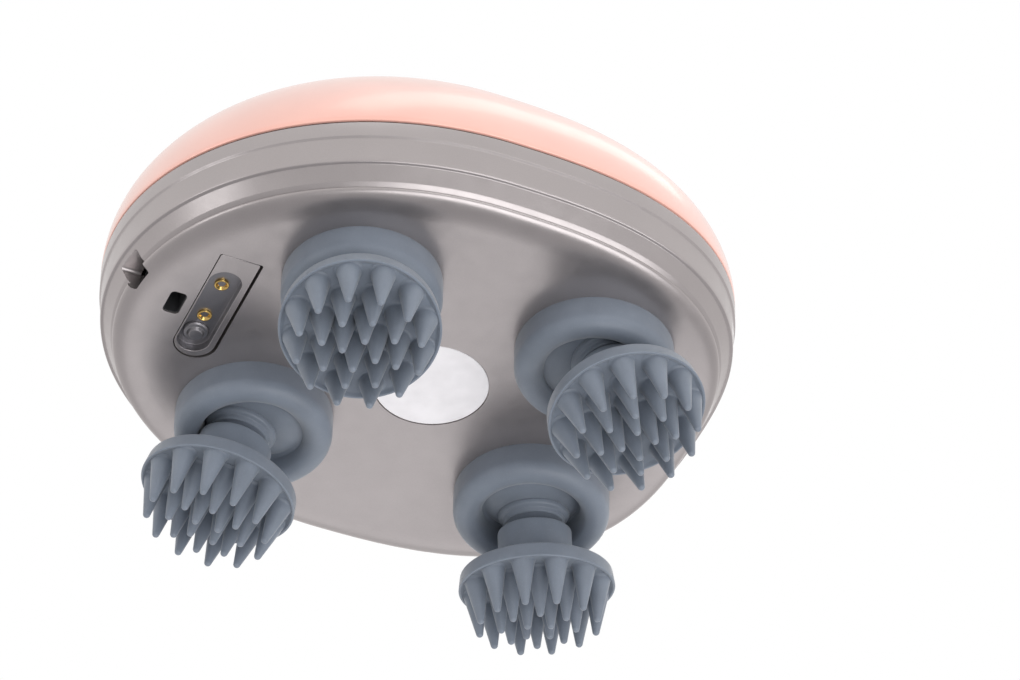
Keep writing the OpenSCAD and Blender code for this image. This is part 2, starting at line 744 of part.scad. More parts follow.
module reduction_gear() {
    turn = mesh_turn(90, 0, drive_teeth, low_pinion_teeth);
    color([0.88, 0.86, 0.78]) at_plate() translate([reduction_at[0], reduction_at[1], 0]) difference() {
        union() {
            translate([0, 0, gear_h]) rotate(turn) gear(low_pinion_teeth, coarse_module, chassis_h - gear_h);
            translate([0, 0, gear_h - 0.7]) cylinder(r = 3.4, h = bridge_h - gear_h + 0.7 - 0.3);
            translate([0, 0, chassis_h]) cylinder(r = 4.6, h = wheel_h - chassis_h);
            translate([0, 0, wheel_h]) gear(wheel_teeth, fine_module, wheel_t);
        }
        cylinder(r = axle_r + run_gap, h = bridge_h + 1);
        for (a = [0 : 72 : 288]) {
            rotate(a) translate([9, 0, wheel_h - 1]) cylinder(r = 2.6, h = wheel_t + 2);
        }
    }
}

module reduction_axle() {
    color([0.7, 0.7, 0.72]) at_plate() translate([reduction_at[0], reduction_at[1], plate_t])
        cylinder(r = axle_r, h = bridge_top_h - plate_t);
}

module motor() {
    color([0.68, 0.69, 0.71]) at_plate() translate([motor_at[0], motor_at[1], 0]) difference() {
        union() {
            translate([0, 0, bridge_top_h]) rotate_extrude() polygon([
                [0, 0], [motor_r, 0], [motor_r, motor_l - 0.8], [motor_r - 0.8, motor_l], [0, motor_l]
            ]);
            translate([0, 0, bridge_h]) cylinder(r = motor_spigot_r, h = bridge_t + cut);
        }
        translate([0, 0, bridge_h - 1]) cylinder(r = shaft_r + run_gap, h = bridge_t + 5);
        for (x = [-motor_screw_x, motor_screw_x]) {
            translate([x, 0, bridge_top_h - 1]) cylinder(r = motor_screw_r + fit_gap, h = motor_screw_bite + 1.2);
        }
    }
}

module motor_shaft() {
    color([0.7, 0.7, 0.72]) at_plate() translate([motor_at[0], motor_at[1], wheel_h - 0.3])
        cylinder(r = shaft_r, h = bridge_top_h - wheel_h + 3);
}

module motor_pinion() {
    turn = mesh_turn(-90, 0, wheel_teeth, motor_pinion_teeth);
    color([0.82, 0.66, 0.36]) at_plate() translate([motor_at[0], motor_at[1], wheel_h]) difference() {
        rotate(turn) gear(motor_pinion_teeth, fine_module, wheel_t + 0.4);
        translate([0, 0, -1]) cylinder(r = shaft_r + fit_gap, h = wheel_t + 3);
    }
}

module gear_chassis() {
    color([0.2, 0.21, 0.22]) at_plate() difference() {
        union() {
            translate([0, 0, chassis_h]) linear_extrude(chassis_t) polygon(outline(-5.3));
            for (p = bridge_posts) {
                translate([p[0], p[1], chassis_top_h - cut])
                    cylinder(r = bridge_post_r, h = bridge_h - chassis_top_h + cut);
            }
        }
        for (i = [0 : 3]) {
            translate([head_at(i)[0], head_at(i)[1], chassis_h - 1]) cylinder(r = journal_r + run_gap, h = chassis_t + 2);
        }
        translate([drive_at[0], drive_at[1], chassis_h - 1]) cylinder(r = axle_r + fit_gap, h = chassis_t + 2);
        translate([reduction_at[0], reduction_at[1], chassis_h - 1])
            cylinder(r = low_pinion_teeth * coarse_module / 2 + 2, h = chassis_t + 2);
        for (p = chassis_posts) {
            translate([p[0], p[1], chassis_h - 1]) cylinder(r = screw_hole_r, h = chassis_t + 2);
            translate([p[0], p[1], chassis_top_h - screw_sink]) cylinder(r = screw_head_r + slip_gap, h = 2);
        }
        for (p = bridge_posts) {
            translate([p[0], p[1], chassis_h - 1]) cylinder(r = screw_r + fit_gap, h = bridge_h);
        }
    }
}

module motor_bridge() {
    color([0.62, 0.63, 0.65]) at_plate() difference() {
        translate([0, 0, bridge_h]) linear_extrude(bridge_t) union() {
            translate(motor_at) circle(r = motor_r + 1);
            translate(reduction_at) circle(r = 4.5);
            for (p = bridge_posts) {
                translate(p) circle(r = bridge_post_r + 0.5);
            }
            bridge_bar(bridge_posts[0], bridge_posts[1], 3);
            bridge_bar(bridge_posts[2], bridge_posts[3], 2.6);
            bridge_bar(motor_at, reduction_at, 3.5);
        }
        translate([motor_at[0], motor_at[1], bridge_h - 1]) cylinder(r = motor_spigot_r + fit_gap, h = bridge_t + 2);
        for (x = [-motor_screw_x, motor_screw_x]) {
            translate([motor_at[0] + x, motor_at[1], bridge_h - 1])
                cylinder(r = motor_screw_r + 0.15, h = bridge_t + 2);
        }
        translate([reduction_at[0], reduction_at[1], bridge_h - 1]) cylinder(r = axle_r + fit_gap, h = bridge_t + 2);
        for (p = bridge_posts) {
            translate([p[0], p[1], bridge_h - 1]) cylinder(r = screw_hole_r, h = bridge_t + 2);
        }
    }
}

// Flat bar from one point to another, of half width w
module bridge_bar(from, to, w) {
    d = to - from;
    translate(from) rotate(atan2(d[1], d[0])) translate([0, -w]) square([norm(d), 2 * w]);
}

// ---- Power and controls ----

module battery() {
    color([0.2, 0.42, 0.62]) at_plate() translate([cell_at[0] - cell_l / 2, cell_at[1], cell_h]) rotate([0, 90, 0]) {
        cylinder(r = cell_r, h = cell_l - 1.2);
        cylinder(r = cell_r * 0.35, h = cell_l);
    }
}

module battery_cradle() {
    wall = 1.6;
    foot_h = cell_h - chassis_top_h;
    color([0.2, 0.21, 0.22]) at_plate() difference() {
        translate([cell_at[0] - cell_l / 2 - wall - 0.4, cell_at[1] - cell_r - wall, chassis_top_h])
            cube([cell_l + 2 * wall + 0.8, 2 * (cell_r + wall), foot_h]);
        translate([cell_at[0] - cell_l / 2 - 0.4, cell_at[1], cell_h]) rotate([0, 90, 0])
            cylinder(r = cell_r + 0.1, h = cell_l + 0.8);
        for (x = [-cell_l / 4, cell_l / 4]) {
            translate([cell_at[0] + x - 8, cell_at[1] - cell_r - wall - 1, chassis_top_h + 3])
                cube([16, 2 * (cell_r + wall + 1), foot_h]);
        }
    }
}

module circuit_board() {
    color([0.12, 0.42, 0.26]) at_plate() difference() {
        union() {
            translate([board_at[0] - board_l / 2, board_at[1] - board_w / 2, board_h]) cube([board_l, board_w, board_t]);
            translate([guide_at[0] - 1, guide_at[1] - 0.7, board_top_h - cut]) cube([2, 1.4, led_h]);
            translate([-10, -8, board_top_h - cut]) cube([5, 4, 1.2]);
            translate([-13, 2, board_top_h - cut]) cube([3, 2, 1]);
            translate([-13, board_at[1] + board_w / 2 - 5, board_h - 3.2]) cube([7, 4, 3.2 + cut]);
        }
        for (x = board_boss_xs) {
            translate([x, board_boss_y, board_h - 1]) cylinder(r = screw_hole_r, h = board_t + 2);
        }
    }
}

module tact_switch() {
    color([0.25, 0.25, 0.26]) at_plate() translate([0, 0, board_top_h]) {
        translate([-2.5, -2.5, 0]) cube([5, 5, switch_h - 0.1]);
        cylinder(r = 1.3, h = switch_h + 0.2);
    }
}

module power_button() {
    top_h = dome_at([button_r, 0]);
    crown = 0.35;
    color([0.93, 0.9, 0.89]) at_plate() rotate_extrude($fn = 64) polygon([
        [0, flange_h], [flange_r, flange_h], [flange_r, flange_h + flange_t], [button_r, flange_h + flange_t],
        [button_r, top_h - 0.7], [button_r - 0.2, top_h - 0.25], [button_r - 0.7, top_h],
        [button_r * 0.6, top_h + crown * 0.6], [button_r * 0.3, top_h + crown * 0.9], [0, top_h + crown]
    ]);
}

module button_gasket() {
    color([0.2, 0.2, 0.21]) at_plate() translate([0, 0, flange_h + slip_gap])
        tube(flange_r + 1.6, flange_r + 0.35, pad_h - flange_h - slip_gap);
}

module light_guide() {
    top_h = dome_at(guide_at + [guide_r, 0]) - 0.05;
    color([0.9, 0.95, 1.0]) at_plate() translate([guide_at[0], guide_at[1], board_top_h + led_h + 0.2])
        cylinder(r = guide_r, h = top_h - board_top_h - led_h - 0.2);
}

// ---- Fasteners ----

module screws_at(places, head_h, length) {
    color([0.6, 0.61, 0.63]) at_plate() for (p = places) {
        translate([p[0], p[1], head_h]) screw(length);
    }
}

module frame_screws() { screws_at(frame_tabs, tab_h + tab_t, frame_screw_l); }
module chassis_screws() { screws_at(chassis_posts, chassis_top_h - screw_sink, chassis_screw_l - screw_sink); }
module bridge_screws() { screws_at(bridge_posts, bridge_top_h, bridge_screw_l); }

module motor_screws() {
    color([0.6, 0.61, 0.63]) at_plate() for (x = [-motor_screw_x, motor_screw_x]) {
        translate([motor_at[0] + x, motor_at[1], bridge_h]) {
            translate([0, 0, -cut]) cylinder(r = motor_screw_r, h = bridge_t + motor_screw_bite + cut);
            translate([0, 0, -motor_screw_head_t]) cylinder(r = motor_screw_head_r, h = motor_screw_head_t);
        }
    }
}

module board_screws() {
    color([0.6, 0.61, 0.63]) at_plate() for (x = board_boss_xs) {
        translate([x, board_boss_y, board_h]) rotate([180, 0, 0]) screw(board_t + 2);
    }
}

top_shell();
shell_seal();
mid_frame();
base_cover();
charge_insert();
charge_contacts();
label_disc();
power_button();
button_gasket();
light_guide();
brush(0);  // brush_1
brush(1);  // brush_2
brush(2);  // brush_3
brush(3);  // brush_4
arm(0);  // arm_1
arm(1);  // arm_2
arm(2);  // arm_3
arm(3);  // arm_4
boot(0);  // boot_1
boot(1);  // boot_2
boot(2);  // boot_3
boot(3);  // boot_4
boot_ring(0);  // boot_ring_1
boot_ring(1);  // boot_ring_2
boot_ring(2);  // boot_ring_3
boot_ring(3);  // boot_ring_4
ball_seat(0);  // ball_seat_1
ball_seat(1);  // ball_seat_2
ball_seat(2);  // ball_seat_3
ball_seat(3);  // ball_seat_4
crank_gear(0);  // crank_gear_1
crank_gear(1);  // crank_gear_2
crank_gear(2);  // crank_gear_3
crank_gear(3);  // crank_gear_4
drive_gear();
drive_axle();
reduction_gear();
reduction_axle();
motor();
motor_shaft();
motor_pinion();
gear_chassis();
motor_bridge();
battery();
battery_cradle();
circuit_board();
tact_switch();
frame_screws();
chassis_screws();
bridge_screws();
motor_screws();
board_screws();
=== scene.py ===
"""Looks of an electric scalp massager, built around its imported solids.

The part stands on its pins, Z up. Meshes are modelled in millimetres and scaled to metres when they are
finished. Heights in the body are measured up from the outer face of the flat base plate.
"""

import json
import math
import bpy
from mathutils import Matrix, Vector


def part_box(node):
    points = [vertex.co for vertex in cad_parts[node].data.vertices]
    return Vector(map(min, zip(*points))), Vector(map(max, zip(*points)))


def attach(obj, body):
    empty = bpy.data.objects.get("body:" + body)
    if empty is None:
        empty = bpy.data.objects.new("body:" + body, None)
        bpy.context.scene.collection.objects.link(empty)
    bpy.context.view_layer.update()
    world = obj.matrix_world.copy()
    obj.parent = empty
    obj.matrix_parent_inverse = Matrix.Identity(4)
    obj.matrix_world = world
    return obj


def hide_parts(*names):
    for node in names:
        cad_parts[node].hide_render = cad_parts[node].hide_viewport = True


bl_info = {
    "name": "Scalp Massager Looks",
    "version": (1, 0, 0),
    "blender": (4, 5, 0),
    "location": "View3D > Sidebar > Massager",
    "description": "Models the shells, kneading heads and finishes of a scalp massager around its frame",
    "category": "Object",
}

from types import SimpleNamespace

import bmesh
import bpy
from bpy.props import FloatProperty, FloatVectorProperty, PointerProperty
from mathutils import Matrix, Vector

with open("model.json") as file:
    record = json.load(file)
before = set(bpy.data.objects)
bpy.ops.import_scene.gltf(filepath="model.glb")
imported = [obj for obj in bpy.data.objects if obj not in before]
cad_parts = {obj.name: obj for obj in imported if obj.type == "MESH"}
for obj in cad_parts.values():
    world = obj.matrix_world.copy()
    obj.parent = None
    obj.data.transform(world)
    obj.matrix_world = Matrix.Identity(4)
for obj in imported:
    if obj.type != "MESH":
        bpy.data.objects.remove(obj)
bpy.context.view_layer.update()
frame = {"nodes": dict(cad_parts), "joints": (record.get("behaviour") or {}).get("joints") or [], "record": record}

MM = 0.001
SEGMENTS = 240  # points round the body's outline
FILLET_SHARE = 0.48  # most of a side that a fillet takes
WELD = 0.0005  # distance in millimetres under which two vertices are one
TAIL_POWER = 2.0  # the outline is an ellipse at the strap end
NOSE_POWER = 2.6  # and blunter at the other
HEADS = ("1", "2", "3", "4")


def box_mm(node):
    """Lowest and highest corner of a solid, in millimetres."""
    low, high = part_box(node)
    return low / MM, high / MM


# Places that the frame fixes
base_low, base_high = box_mm("base_cover")
band_low, band_high = box_mm("mid_frame")
PLATE_Z = base_low.z
HALF_LENGTH = base_high.x
HALF_WIDTH = base_high.y
SEAM_OUT = band_high.x - HALF_LENGTH
PARTING_H = band_low.z - PLATE_Z
BAND_TOP_H = band_high.z - PLATE_Z
SHELL_H = box_mm("shell_seal")[1].z - PLATE_Z
AT_PLATE = Matrix.Translation((0, 0, PLATE_Z))
SWAYS = {joint["name"]: joint for joint in frame["joints"]}


def head_place(head):
    """Pivot, lean and lean azimuth of a kneading head, from the joint that sways it."""
    joint = SWAYS[f"head_{head}_sway"]
    pivot = Vector(joint["pos_m"]) / MM
    axis = Vector(joint["axis"]).normalized()
    return pivot, math.acos(axis.z), math.atan2(-axis.y, -axis.x)


def arm_frame(head):
    """Origin at the pivot, +Z down the leaning arm."""
    pivot, lean, azimuth = head_place(head)
    turn = Matrix.Rotation(azimuth, 4, "Z") @ Matrix.Rotation(math.pi - lean, 4, "Y")
    return Matrix.Translation(pivot) @ turn


def boot_frame(head):
    """Origin at the pivot, +Z straight down, with the arm leaning towards +X."""
    pivot, _, azimuth = head_place(head)
    return Matrix.Translation(pivot) @ Matrix.Rotation(azimuth, 4, "Z") @ Matrix.Rotation(math.pi, 4, "X")


# ---- Properties ----


def length(name, description, millimetres):
    """A length property, given in millimetres and kept in metres."""
    return FloatProperty(name=name, description=description, default=millimetres * MM, unit="LENGTH", precision=5)


def srgb(red, green, blue):
    """Linear colour of an 8-bit display colour."""
    shares = (value / 255 for value in (red, green, blue))
    return tuple(v / 12.92 if v <= 0.04045 else ((v + 0.055) / 1.055) ** 2.4 for v in shares)


def colour(name, description, *display):
    """A colour property, given as an 8-bit display colour."""
    return FloatVectorProperty(
        name=name, description=description, default=srgb(*display), subtype="COLOR", min=0, max=1
    )


class MassagerSizes(bpy.types.PropertyGroup):
    """Sizes that shape the visible pieces."""

    shoulder_run: length("Shoulder run", "Inward run of the base's rounded shoulder", 5.4)
    shoulder_rise: length("Shoulder rise", "Height of the shoulder's edge above the plate's face", 1.7)
    plate_t: length("Plate", "Thickness of the base plate", 2.0)
    ridge_h: length("Lower ridge", "Height of the lower ridge on the side band", 6.0)
    upper_ridge_h: length("Upper ridge", "Height of the upper ridge on the side band", 11.0)
    dome_height: length("Dome", "Height of the dome above its seam", 33.0)
    dome_wall: length("Dome wall", "Wall of the dome", 2.2)
    button_r: length("Button", "Radius of the power button", 8.0)
    button_gap: length("Button gap", "Gap round the power button", 0.3)
    label_r: length("Label", "Radius of the round label", 9.8)
    hole_r: length("Head hole", "Radius of the holes for the heads", 7.8)
    boot_r: length("Boot", "Outer radius of a boot", 13.5)
    boot_crown: length("Boot crown", "Height of a boot's crown", 6.2)
    boot_roll: length("Boot roll", "Radius of a boot's rolled crown", 2.5)
    boot_floor: length("Boot floor", "Radius of a boot's floor about the pivot", 9.9)
    neck_r: length("Neck", "Radius of the neck", 4.9)
    hub_r: length("Hub", "Radius of a head's hub", 6.4)
    hub_s: length("Hub place", "Distance from the pivot to the hub", 12.3)
    disc_r: length("Disc", "Radius of the pin disc", 13.5)
    disc_t: length("Disc edge", "Thickness of the pin disc at its rim", 2.7)
    rim_s: length("Rim place", "Distance from the pivot to the rim of the pin disc", 23.2)
    face_recess: length("Face recess", "Depth of the disc's face inside its rim", 0.6)
    pin_root: length("Pin root", "Radius of a pin at its root", 2.0)
    pin_tip: length("Pin tip", "Radius of a pin's round tip", 0.62)
    pin_reach: length("Pin reach", "Reach of the outer pins beyond the rim", 7.6)
    pin_crown: length("Pin crown", "How much further the innermost pins reach", 0.8)


class MassagerColours(bpy.types.PropertyGroup):
    """Colours of the visible finishes."""

    dome: colour("Dome", "Pearl pink of the dome", 246, 190, 176)
    silver: colour("Silver", "Satin paint of the base and side band", 174, 168, 168)
    insert: colour("Insert", "Paint of the charging insert's pocket", 138, 136, 140)
    gold: colour("Gold", "Plating of the charging contacts", 232, 196, 120)
    label: colour("Label", "Film of the round label", 240, 237, 240)
    button: colour("Button", "Power button", 240, 232, 228)
    silicone: colour("Silicone", "Pins, boots and beads", 118, 126, 138)
    arm: colour("Neck", "Necks between boots and hubs", 96, 103, 114)


def in_mm(group):
    """The lengths of a property group as plain millimetre numbers."""
    names = [key for key in group.bl_rna.properties.keys() if key not in {"rna_type", "name"}]
    return SimpleNamespace(**{key: getattr(group, key) / MM for key in names})


# ---- Mesh helpers ----


def outline_radius(angle, growth=0.0):
    """Distance from the middle of the body to its egg-shaped plan outline, grown outwards."""
    power = TAIL_POWER if math.cos(angle) < 0 else NOSE_POWER
    along = abs(math.cos(angle)) / (HALF_LENGTH + growth)
    across = abs(math.sin(angle)) / (HALF_WIDTH + growth)
    return (along**power + across**power) ** (-1 / power)


def polar(radius, angle, height):
    """Point at a radius and angle about the middle of the body."""
    return Vector((radius * math.cos(angle), radius * math.sin(angle), height))


def egg(growth, height):
    """Ring on the plan outline, grown outwards, at a height."""
    return lambda angle: polar(outline_radius(angle, growth), angle, height)


def round_ring(radius, height):
    """Circular ring about the middle of the body."""
    return lambda angle: polar(radius, angle, height)


def move_ring(verts, ring):
    """Puts vertices on a ring, each at the angle where it stands."""
    for vert in verts:
        vert.co = ring(math.atan2(vert.co.y, vert.co.x))


def linked_edges(verts):
    """The edges at some vertices, each once and in an order that is the same on every run."""
    return list(dict.fromkeys(edge for vert in verts for edge in vert.link_edges))


def skin(bm, rings, close=False, segments=SEGMENTS):
    """Skins rings of points by extruding one ring of edges into the next. Returns the first and last ring."""
    verts = bmesh.ops.create_circle(bm, cap_ends=False, segments=segments, radius=1.0)["verts"]
    edges = linked_edges(verts)
    first = edges
    move_ring(verts, rings[0])
    for ring in rings[1:]:
        made = bmesh.ops.extrude_edge_only(bm, edges=edges)["geom"]
        verts = {item for item in made if isinstance(item, bmesh.types.BMVert)}
        edges = [item for item in made if isinstance(item, bmesh.types.BMEdge) and verts.issuperset(item.verts)]
        move_ring(verts, ring)
    if close:
        bmesh.ops.bridge_loops(bm, edges=first + edges)
    return first, edges


def arc(centre, radius, start, end, steps):
    """Points on an arc, between two angles in degrees."""
    turns = [math.radians(start + (end - start) * k / steps) for k in range(steps + 1)]
    return [(centre[0] + radius * math.cos(t), centre[1] + radius * math.sin(t)) for t in turns]


def rounded(corners, steps=4, closed=False):
    """A profile through (x, y, fillet) corners, with an arc wherever the fillet isn't zero."""
    points = []
    count = len(corners)
    for index, (x, y, fillet) in enumerate(corners):
        corner = Vector((x, y))
        if not fillet or (not closed and index in (0, count - 1)):
            points.append((x, y))
            continue
        before = Vector(corners[index - 1][:2]) - corner
        after = Vector(corners[(index + 1) % count][:2]) - corner
        half = before.angle(after) / 2
        reach = min(fillet / math.tan(half), FILLET_SHARE * before.length, FILLET_SHARE * after.length)
        radius = reach * math.tan(half)
        middle = (before.normalized() + after.normalized()).normalized()
        centre = corner + middle * (radius / math.sin(half))
        start = corner + before.normalized() * reach - centre
        end = corner + after.normalized() * reach - centre
        sweep = (math.atan2(end.y, end.x) - math.atan2(start.y, start.x) + math.pi) % math.tau - math.pi
        first = math.degrees(math.atan2(start.y, start.x))
        points += arc(centre, radius, first, first + math.degrees(sweep), steps)
    return points


def lathe(bm, profile, steps=96, closed=False, place=Matrix.Identity(4)):
    """Spins a profile of (radius, height) points about +Z and puts the result in place."""
    old = set(bm.verts)
    verts = [bm.verts.new((radius, 0, height)) for radius, height in profile]
    edges = [bm.edges.new(pair) for pair in zip(verts, verts[1:])]
    if closed:
        edges.append(bm.edges.new((verts[-1], verts[0])))
    bmesh.ops.spin(bm, geom=verts + edges, cent=(0, 0, 0), axis=(0, 0, 1), angle=math.tau, steps=steps, use_merge=True)
    made = [vert for vert in bm.verts if vert not in old]
    bmesh.ops.remove_doubles(bm, verts=made, dist=WELD)
    made = [vert for vert in bm.verts if vert not in old]
    bmesh.ops.transform(bm, matrix=place, verts=made)
    return made


def block(bm, low, high, radius=0.0, axis=0):
    """A box between two corners, whose edges along one axis are rounded."""
    low, high = Vector(low), Vector(high)
    made = bmesh.ops.create_cube(bm, size=1.0)["verts"]
    bmesh.ops.scale(bm, vec=high - low, verts=made)
    bmesh.ops.translate(bm, vec=(low + high) / 2, verts=made)
    if radius:
        along = [e for e in linked_edges(made) if abs((e.verts[0].co - e.verts[1].co)[axis]) > 0.01]
        bmesh.ops.bevel(
            bm, geom=along, offset=radius, offset_type="OFFSET", affect="EDGES", segments=8, profile=0.5, material=-1
        )


def prism(bm, outline, low, high):
    """Pulls a flat outline of (x, y) points up into a solid."""
    face = bm.faces.new([bm.verts.new((x, y, low)) for x, y in outline])
    made = bmesh.ops.extrude_face_region(bm, geom=[face])["geom"]
    top = [item for item in made if isinstance(item, bmesh.types.BMVert)]
    bmesh.ops.translate(bm, vec=(0, 0, high - low), verts=top)


def mesh_object(name, bm):
    """Puts a bmesh in a new object, with its normals outwards."""
    bmesh.ops.recalc_face_normals(bm, faces=bm.faces)
    mesh = bpy.data.meshes.new(name)
    bm.to_mesh(mesh)
    bm.free()
    obj = bpy.data.objects.new(name, mesh)
    bpy.context.scene.collection.objects.link(obj)
    return obj


def cut_away(bm, *cutters):
    """Returns the bmesh with each cutter taken out of it. Solids in one bmesh may overlap."""
    body = mesh_object("body", bm)
    tools = [mesh_object("cutter", cutter) for cutter in cutters]
    for tool in tools:
        modifier = body.modifiers.new("cut", "BOOLEAN")
        modifier.operation = "DIFFERENCE"
        modifier.solver = "EXACT"
        modifier.use_self = True
        modifier.object = tool
    bpy.context.view_layer.update()
    cut = bmesh.new()
    cut.from_object(body, bpy.context.evaluated_depsgraph_get())
    for obj in [body] + tools:
        mesh = obj.data
        bpy.data.objects.remove(obj)
        bpy.data.meshes.remove(mesh)
    bmesh.ops.remove_doubles(cut, verts=cut.verts, dist=WELD)
    return cut


def new_piece(name, bm, body, slot, replaced=(), place=Matrix.Identity(4), finish=None, sharp=32, edge=0.0):
    """A piece that rides on a body, in its slot's finish if no other is named. Edge rounds its sharp edges."""
    bmesh.ops.transform(bm, matrix=place, verts=bm.verts)
    bmesh.ops.recalc_face_normals(bm, faces=bm.faces)
    bmesh.ops.transform(bm, matrix=Matrix.Scale(MM, 4), verts=bm.verts)
    mesh = bpy.data.meshes.new(name)
    bm.to_mesh(mesh)
    bm.free()
    mesh.shade_smooth()
    mesh.set_sharp_from_angle(angle=math.radians(sharp))
    mesh.materials.append(finish_named(finish or slot))
    obj = bpy.data.objects.new(name, mesh)
    bpy.context.scene.collection.objects.link(obj)
    if edge:
        bevel = obj.modifiers.new("edge", "BEVEL")
        bevel.width = edge * MM
        bevel.segments = 3
        bevel.limit_method = "ANGLE"
        bevel.angle_limit = math.radians(40)
        normals = obj.modifiers.new("normals", "WEIGHTED_NORMAL")
        normals.keep_sharp = True
    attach(obj, body)
    if replaced:
        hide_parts(*replaced)
    return obj


# ---- Finishes ----


class Finish:
    """A material with one Principled shader, and the textures that vary it."""

    def __init__(self, name, **values):
        self.material = bpy.data.materials.new(f"{name}_finish")
        self.material.use_nodes = True
        self.tree = self.material.node_tree
        self.shader = self.tree.nodes["Principled BSDF"]
        for key, value in values.items():
            self.shader.inputs[key.replace("_", " ").title().replace("Ior", "IOR")].default_value = value
        self.coordinates = self.tree.nodes.new("ShaderNodeTexCoord").outputs["Object"]

    def node(self, kind, **settings):
        """Adds a node and sets its properties."""
        made = self.tree.nodes.new(kind)
        for key, value in settings.items():
            setattr(made, key, value)
        return made

    def join(self, output, socket):
        """Links an output to an input."""
        self.tree.links.new(output, socket)

    def noise(self, size, detail=2.0, stretch=(1, 1, 1)):
        """Noise whose features are about size millimetres across."""
        mapping = self.node("ShaderNodeMapping")
        mapping.inputs["Scale"].default_value = stretch
        self.join(self.coordinates, mapping.inputs["Vector"])
        made = self.node("ShaderNodeTexNoise")
        made.inputs["Scale"].default_value = 1 / (size * MM)
        made.inputs["Detail"].default_value = detail
        self.join(mapping.outputs["Vector"], made.inputs["Vector"])
        return made.outputs["Fac"]

    def cells(self, size):
        """Random value per cell, for metal flake."""
        made = self.node("ShaderNodeTexVoronoi")
        made.inputs["Scale"].default_value = 1 / (size * MM)
        self.join(self.coordinates, made.inputs["Vector"])
        split = self.node("ShaderNodeSeparateColor")
        self.join(made.outputs["Color"], split.inputs["Color"])
        return split.outputs["Red"]

    def remap(self, value, low, high, start=0.3, end=0.7):
        """Maps a texture's values to a range."""
        made = self.node("ShaderNodeMapRange")
        made.inputs["From Min"].default_value = start
        made.inputs["From Max"].default_value = end
        made.inputs["To Min"].default_value = low
        made.inputs["To Max"].default_value = high
        self.join(value, made.inputs["Value"])
        return made.outputs["Result"]

    def mix(self, factor, first, second):
        """Mixes two colours, each a colour or an output."""
        made = self.node("ShaderNodeMix", data_type="RGBA")
        self.join(factor, made.inputs["Factor"])
        for key, value in (("A", first), ("B", second)):
            socket = next(s for s in made.inputs if s.name == key and s.type == "RGBA")
            if isinstance(value, bpy.types.NodeSocket):
                self.join(value, socket)
            else:
                socket.default_value = (*value, 1)
        return next(s for s in made.outputs if s.type == "RGBA")

    def set_colour(self, output):
        """Uses an output as the base colour."""
        self.join(output, self.shader.inputs["Base Color"])

    def set_roughness(self, low, high, size, detail=2.0):
        """Roughness that wanders between two values."""
        self.join(self.remap(self.noise(size, detail), low, high), self.shader.inputs["Roughness"])

    def set_bump(self, height, depth):
        """Bump of a depth in millimetres."""
        made = self.node("ShaderNodeBump")
        made.inputs["Strength"].default_value = 1.0
        made.inputs["Distance"].default_value = depth * MM
        self.join(height, made.inputs["Height"])
        self.join(made.outputs["Normal"], self.shader.inputs["Normal"])


def shade(tone, factor):
    """A colour made lighter or darker."""
    return tuple(min(1.0, channel * factor) for channel in tone)


def pearl_pink(colours):
    """Glossy pink, with a painted sheen: the colour turns whiter where the surface is seen edge-on."""
    finish = Finish("pearl_pink", metallic=0.2, coat_weight=0.4, coat_roughness=0.12)
    mottled = finish.mix(finish.remap(finish.noise(12, 2), 0, 1), shade(colours.dome, 0.97), shade(colours.dome, 1.05))
    # Painted sheen: the base colour is mixed towards a whiter pink as the surface turns edge-on to the view
    weight = finish.node("ShaderNodeLayerWeight")
    weight.inputs["Blend"].default_value = 0.4
    pink_with_painted_sheen = finish.mix(finish.remap(weight.outputs["Facing"], 0, 0.75, 0.2, 1), mottled, srgb(255, 238, 233))
    finish.set_colour(pink_with_painted_sheen)
    finish.set_roughness(0.3, 0.35, 4)
    finish.set_bump(finish.noise(1.6, 1), 0.003)
    return finish.material


def silver_paint(name, tone, roughness, size=0.07):
    """Satin metallic paint: fine flake, slow colour drift and a faint orange peel."""
    finish = Finish(name, metallic=0.85, coat_weight=0.25, coat_roughness=0.14)
    drift = finish.mix(finish.remap(finish.noise(14, 2), 0, 1), shade(tone, 0.97), shade(tone, 1.03))
    finish.set_colour(finish.mix(finish.remap(finish.cells(size), 0, 0.3, 0, 1), drift, shade(tone, 1.25)))
    finish.set_roughness(roughness - 0.03, roughness + 0.04, 2.5, 3)
    finish.set_bump(finish.noise(0.5, 2), 0.0035)
    return finish.material


def silicone(name, tone, roughness=0.42):
    """Matte silicone: soft sheen, a trace of dust and a fine moulded grain."""
    finish = Finish(
        name, sheen_weight=0.25, sheen_roughness=0.45, specular_ior_level=0.42, subsurface_weight=0.12,
        subsurface_radius=(0.8, 0.9, 1.0), subsurface_scale=0.0012,
    )
    cloudy = finish.mix(finish.remap(finish.noise(5, 4), 0, 1), shade(tone, 0.93), shade(tone, 1.08))
    finish.set_colour(finish.mix(finish.remap(finish.noise(0.25, 2), 0, 0.3, 0.55, 0.75), cloudy, shade(tone, 1.3)))
    finish.set_roughness(roughness - 0.05, roughness + 0.07, 1.8, 3)
    finish.set_bump(finish.noise(0.22, 3), 0.006)
    return finish.material


def moulded(name, tone, roughness=0.5, **values):
    """Moulded plastic or film with a fine spark-eroded texture."""
    finish = Finish(name, **values)
    finish.set_colour(finish.mix(finish.remap(finish.noise(4, 3), 0, 1), shade(tone, 0.94), shade(tone, 1.05)))
    finish.set_roughness(roughness - 0.05, roughness + 0.06, 0.8, 3)
    finish.set_bump(finish.noise(0.18, 2), 0.005)
    return finish.material


def metal(name, tone, roughness, stretch=(1, 1, 12)):
    """Plated or ground metal with fine marks that run one way."""
    finish = Finish(name, metallic=1.0)
    marks = finish.noise(0.6, 4, stretch)
    finish.set_colour(finish.mix(finish.remap(finish.noise(3, 3), 0, 1), shade(tone, 0.9), shade(tone, 1.06)))
    finish.join(finish.remap(marks, roughness - 0.07, roughness + 0.09), finish.shader.inputs["Roughness"])
    finish.set_bump(marks, 0.004)
    return finish.material


